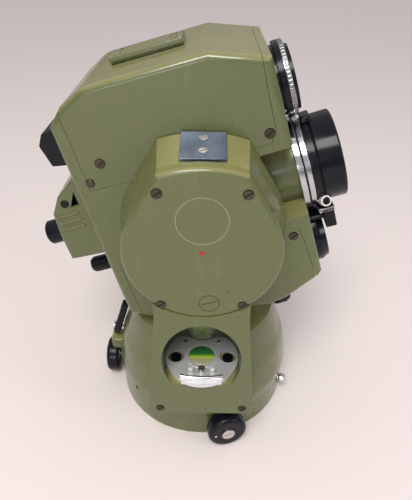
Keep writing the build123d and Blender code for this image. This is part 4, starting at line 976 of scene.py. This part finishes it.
@dataclass
class ObjectiveTrim(Assembly):
    """Groove ring painted dark as the shade in the cell's groove, lug, round screw and bracket plate round
    the objective.

    Attributes:
        groove_profile: Distance along the optical axis and radius, in millimetres as all sizes here.
        lug_back: Place of the lug's back along the axis.
        lug_length: Length of the lug along the axis.
        lug_corners: Across and above the axis for each corner of the lug.
        lug_edge: Width of the lug's bevels.
        screw_seat: Along, across and above the axis for the screw's seat.
        screw_axis: Direction in which the screw looks.
        rim_profile: Distance along the screw and radius of its rim.
        head_profile: Distance along the screw and radius of its head.
        plate_back: Place of the plate's back along the axis.
        plate_length: Length of the plate along the axis.
        plate_corners: Across and above the axis for each corner of the plate.
        plate_edge: Width of the plate's bevels.
    """

    groove_profile: Profile = ((61.0, 27.4), (61.15, 27.55), (62.0, 27.55), (62.15, 27.0))
    lug_back: float = 66.2
    lug_length: float = 5.8
    lug_corners: Profile = ((-6.0, 25.0), (6.0, 25.0), (5.0, 28.6), (-5.0, 28.6))
    lug_edge: float = 0.9
    screw_seat: Point = (69.6, -21.6, -18.4)
    screw_axis: Point = (0.1, -0.9, 0.42)
    rim_profile: Profile = ((-4.0, 3.2), (0.9, 3.2), (1.1, 2.9), (1.1, 2.2), (0.7, 2.1))
    head_profile: Profile = ((0.0, 2.3), (1.2, 2.3), (1.5, 1.9), (1.55, 0.4))
    plate_back: float = 64.5
    plate_length: float = 9.5
    plate_corners: Profile = ((-19.5, -24.6), (-9.5, -24.6), (-9.5, -27.0), (-19.5, -27.0))
    plate_edge: float = 0.4

    def build(self) -> None:
        """Add the turned ring and screw and the two prisms."""
        # Painted shade: a dark ring in the objective cell's groove.
        groove = turned(place(0, 0, 0), direction(1, 0, 0), self.groove_profile, steps=160, capped=False)
        self.builder.add("cell_groove", groove, Look.DARK, Slot.CHROME, Body.TELESCOPE)
        lug = self._prism_along(self.lug_back, self.lug_length, self.lug_corners)
        self.builder.add("shade_lug", lug, Look.BLACK, Slot.BLACK, Body.TELESCOPE, edge=self.lug_edge)
        seat = place(*self.screw_seat)
        rim = turned(seat, self.screw_axis, self.rim_profile, steps=64)
        self.builder.add("shade_screw_rim", rim, Look.WHITE, Slot.CHROME, Body.TELESCOPE)
        head = turned(seat, self.screw_axis, self.head_profile, steps=64)
        self.builder.add("shade_screw", head, Look.BLACK, Slot.BLACK, Body.TELESCOPE)
        plate = self._prism_along(self.plate_back, self.plate_length, self.plate_corners)
        self.builder.add("bracket_plate", plate, Look.KNURL, Slot.STEEL, Body.TELESCOPE, edge=self.plate_edge)

    @staticmethod
    def _prism_along(back: float, length: float, corners: Profile) -> Surface:
        """Return a prism that runs along the optical axis."""
        return prism([place(back, y, w) for y, w in corners], place(length, 0, 0) - place(0, 0, 0))


@dataclass
class UpperRing(Assembly):
    """Dark shroud and knurled chrome ring round the upper optic.

    Attributes:
        rise: Height of the upper optic above the optical axis, in millimetres as all sizes here.
        shroud_profile: Distance along the axis and radius of the shroud.
        knurl_profile: Distance along the axis and radius of the ring.
        knurl_depth: Height of the serration.
        knurl_count: Number of its teeth.
        knurl_squareness: Power that makes the teeth square.
    """

    rise: float = 51.0
    shroud_profile: Profile = ((60.0, 20.3), (60.2, 20.8), (63.3, 20.8), (63.5, 20.3))
    knurl_profile: Profile = ((63.6, 20.3), (63.8, 20.55), (65.5, 20.55), (65.7, 20.1))
    knurl_depth: float = 0.12
    knurl_count: int = 60
    knurl_squareness: float = 0.4

    def build(self) -> None:
        """Add the two turned rings."""
        centre, axis = place(0, 0, self.rise), direction(1, 0, 0)
        shroud = turned(centre, axis, self.shroud_profile, steps=160, capped=False)
        self.builder.add("upper_shroud", shroud, Look.BLACK, Slot.BLACK, Body.TELESCOPE)
        ring = turned(centre, axis, self.knurl_profile, steps=960, wave=self._knurl, capped=False)
        self.builder.add("upper_knurl", ring, Look.KNURL, Slot.CHROME, Body.TELESCOPE)

    def _knurl(self, angle: np.ndarray) -> np.ndarray:
        """Return the radius change of a fine serration: a sine wave made squarer by a power."""
        wave = np.sin(self.knurl_count * angle)
        return self.knurl_depth * np.sign(wave) * np.abs(wave) ** self.knurl_squareness


@dataclass
class RearBox(Assembly):
    """Ribs and round screw of the eyepiece box, and a screw of the hood above it.

    Attributes:
        side: Place across of the box's near face, in millimetres as all sizes here.
        rib_heights: Height of each rib's middle above the optical axis.
        rib_span: Back and front end of the ribs along the axis.
        rib_half_height: Half the height of a rib.
        rib_sink: Depth at which a rib starts in the face.
        rib_reach: Thickness of a rib.
        rib_edge: Width of a rib's bevels.
        box_screw_spot: Along, across and above the axis for the box's screw.
        hood_screw_spot: Along, across and above the axis for the hood's screw.
        screw_profile: Distance outwards and radius of a screw.
    """

    side: float = -25.0
    rib_heights: tuple[float, ...] = (20.0, 15.5, 11.0)
    rib_span: Pair = (-84.5, -71.0)
    rib_half_height: float = 0.8
    rib_sink: float = 0.2
    rib_reach: float = 1.1
    rib_edge: float = 0.4
    box_screw_spot: Point = (-76.4, -25.0, 27.4)
    hood_screw_spot: Point = (-49.9, -40.0, 41.1)
    screw_profile: Profile = ((-0.2, 2.4), (0.5, 2.4), (0.8, 2.0), (0.85, 0.3))

    def build(self) -> None:
        """Add the ribs, flat prisms, and the screws, turned profiles."""
        back, front = self.rib_span
        half = self.rib_half_height
        for number, middle in enumerate(self.rib_heights, start=1):
            low, high = middle - half, middle + half
            outline = ((back, low), (front, low), (front, high), (back, high))
            corners = [place(u, self.side + self.rib_sink, w) for u, w in outline]
            rib = prism(corners, MILLIMETRE * self.rib_reach * TO_THE_NEAR_SIDE)
            self.builder.add(f"box_rib_{number}", rib, Look.OLIVE, Slot.OLIVE, Body.TELESCOPE,
                             edge=self.rib_edge)
        for name, spot, look in (("box_screw", self.box_screw_spot, Look.BLACK),
                                 ("hood_side_screw", self.hood_screw_spot, Look.SCREW)):
            head = turned(place(*spot), TO_THE_NEAR_SIDE, self.screw_profile, steps=48)
            self.builder.add(name, head, look, Slot.BLACK, Body.TELESCOPE)


ASSEMBLIES = (CoverMarks, ScrewShade, Niche, LevelFittings, LevellingTrim, BellSlotShade, ObjectiveTrim, UpperRing,
              RearBox)


@dataclass(frozen=True)
class AreaLight:
    """A square light that looks at a point of the theodolite.

    Attributes:
        name: Name of the light.
        spot: Its place in metres.
        target: The point that it looks at.
        size: Length of its side in metres.
        power: Its power in watts.
        colour: Its colour.
    """

    name: str
    spot: Point
    target: Point
    size: float
    power: float
    colour: Colour


@dataclass
class Studio:
    """Camera, light and pale floor of the photograph.

    Attributes:
        lights: The area lights.
        floor_colour: Colour of the floor.
        floor_half_size: Half the floor's side in metres.
        floor_roughness: Roughness of the floor.
        floor_specular: Specular level of the floor.
        surround: Spot from straight down, 0, to straight up, 1, and brightness of the light all round.
        surround_tint: Colour of that light.
        backdrop: Colour that the camera sees behind the floor.
    """

    lights: tuple[AreaLight, ...] = (
        AreaLight("key", (-0.15, -0.62, 1.05), (0.0, 0.0, 0.12), 0.42, 6.9, (1.0, 0.97, 0.93)),
        AreaLight("side", (0.95, -0.55, 0.55), (0.0, 0.0, 0.12), 0.25, 1.5, (0.93, 0.96, 1.0)),
        AreaLight("front", (-0.25, -1.2, 0.35), (0.0, 0.0, 0.10), 0.4, 2.2, (1.0, 0.98, 0.97)),
    )
    floor_colour: Colour = (0.93, 0.835, 0.815)
    floor_half_size: float = 3.0
    floor_roughness: float = 0.9
    floor_specular: float = 0.1
    surround: Profile = ((0.0, 0.4), (0.46, 0.34), (0.5, 0.12), (0.56, 0.2), (0.68, 0.55), (1.0, 0.62))
    surround_tint: Colour = (1.0, 0.985, 1.0)
    backdrop: Colour = (0.86, 0.81, 0.80)

    def build(self) -> None:
        """Add the camera, the floor, the pale surround and the lights."""
        self._camera()
        self._floor()
        self._world()
        for light in self.lights:
            self._area(light)

    @staticmethod
    def _camera() -> None:
        """Place the photograph's camera."""
        pitch, yaw, roll = (math.radians(v) for v in (CAMERA_PITCH, CAMERA_YAW, CAMERA_ROLL))
        forward = Vector((math.sin(yaw) * math.cos(pitch), math.cos(yaw) * math.cos(pitch), -math.sin(pitch)))
        level = Vector((math.cos(yaw), -math.sin(yaw), 0.0))
        rise = level.cross(forward)
        right = math.cos(roll) * level + math.sin(roll) * rise
        above = -math.sin(roll) * level + math.cos(roll) * rise
        turn = Matrix((right, above, -forward)).transposed().to_4x4()
        data = bpy.data.cameras.new("camera")
        data.lens = CAMERA_LENS
        data.sensor_width = CAMERA_SENSOR
        data.sensor_fit = "AUTO"
        data.clip_start = CAMERA_CLIP
        camera = bpy.data.objects.new("camera", data)
        camera.matrix_world = Matrix.Translation(Vector(CAMERA_PLACE)) @ turn
        bpy.context.scene.collection.objects.link(camera)
        bpy.context.scene.camera = camera

    def _floor(self) -> None:
        """Add the pale plain floor."""
        size = self.floor_half_size
        mesh = bpy.data.meshes.new("floor")
        corners = [(-size, -size, 0), (size, -size, 0), (size, size, 0), (-size, size, 0)]
        mesh.from_pydata(corners, [], [(0, 1, 2, 3)])
        material = bpy.data.materials.new("floor")
        material.use_nodes = True
        shader = material.node_tree.nodes["Principled BSDF"]
        shader.inputs["Base Color"].default_value = (*self.floor_colour, 1.0)
        shader.inputs["Roughness"].default_value = self.floor_roughness
        shader.inputs["Specular IOR Level"].default_value = self.floor_specular
        mesh.materials.append(material)
        floor = bpy.data.objects.new("floor", mesh)
        bpy.context.scene.collection.objects.link(floor)

    def _world(self) -> None:
        """Light the scene softly all round, and show the camera a plain pale backdrop."""
        world = bpy.data.worlds.new("surround")
        bpy.context.scene.world = world
        world.use_nodes = True
        tree = world.node_tree
        background = tree.nodes["Background"]
        background.inputs["Strength"].default_value = 1.0
        coordinates = tree.nodes.new("ShaderNodeTexCoord")
        split = tree.nodes.new("ShaderNodeSeparateXYZ")
        ramp = tree.nodes.new("ShaderNodeValToRGB")
        shift = tree.nodes.new("ShaderNodeMath")
        shift.operation = "MULTIPLY_ADD"
        shift.inputs[1].default_value = 0.5
        shift.inputs[2].default_value = 0.5
        stops = [(spot, tuple(level * c for c in self.surround_tint)) for spot, level in self.surround]
        set_ramp(ramp, stops)
        tree.links.new(coordinates.outputs["Generated"], split.inputs["Vector"])
        tree.links.new(split.outputs["Z"], shift.inputs[0])
        tree.links.new(shift.outputs[0], ramp.inputs["Fac"])
        rays = tree.nodes.new("ShaderNodeLightPath")
        mix = tree.nodes.new("ShaderNodeMix")
        mix.data_type = "RGBA"
        mix.inputs[7].default_value = (*self.backdrop, 1.0)
        tree.links.new(rays.outputs["Is Camera Ray"], mix.inputs["Factor"])
        tree.links.new(ramp.outputs["Color"], mix.inputs[6])
        tree.links.new(mix.outputs[2], background.inputs["Color"])

    @staticmethod
    def _area(light: AreaLight) -> None:
        """Add one area light, turned to its target."""
        data = bpy.data.lights.new(light.name, "AREA")
        data.size = light.size
        data.energy = light.power
        data.color = light.colour
        lamp = bpy.data.objects.new(light.name, data)
        lamp.location = light.spot
        aim = Vector(light.target) - Vector(light.spot)
        lamp.rotation_euler = aim.to_track_quat("-Z", "Y").to_euler()
        bpy.context.scene.collection.objects.link(lamp)


def main() -> None:
    """Build the whole scene."""
    logging.basicConfig(level=logging.INFO)
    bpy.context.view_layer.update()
    builder = Builder()
    builder.shade_nodes()
    for assembly in ASSEMBLIES:
        assembly(builder).build()
    Studio().build()
    bpy.context.scene.view_settings.view_transform = "Standard"


if __name__ == "__main__":
    main()
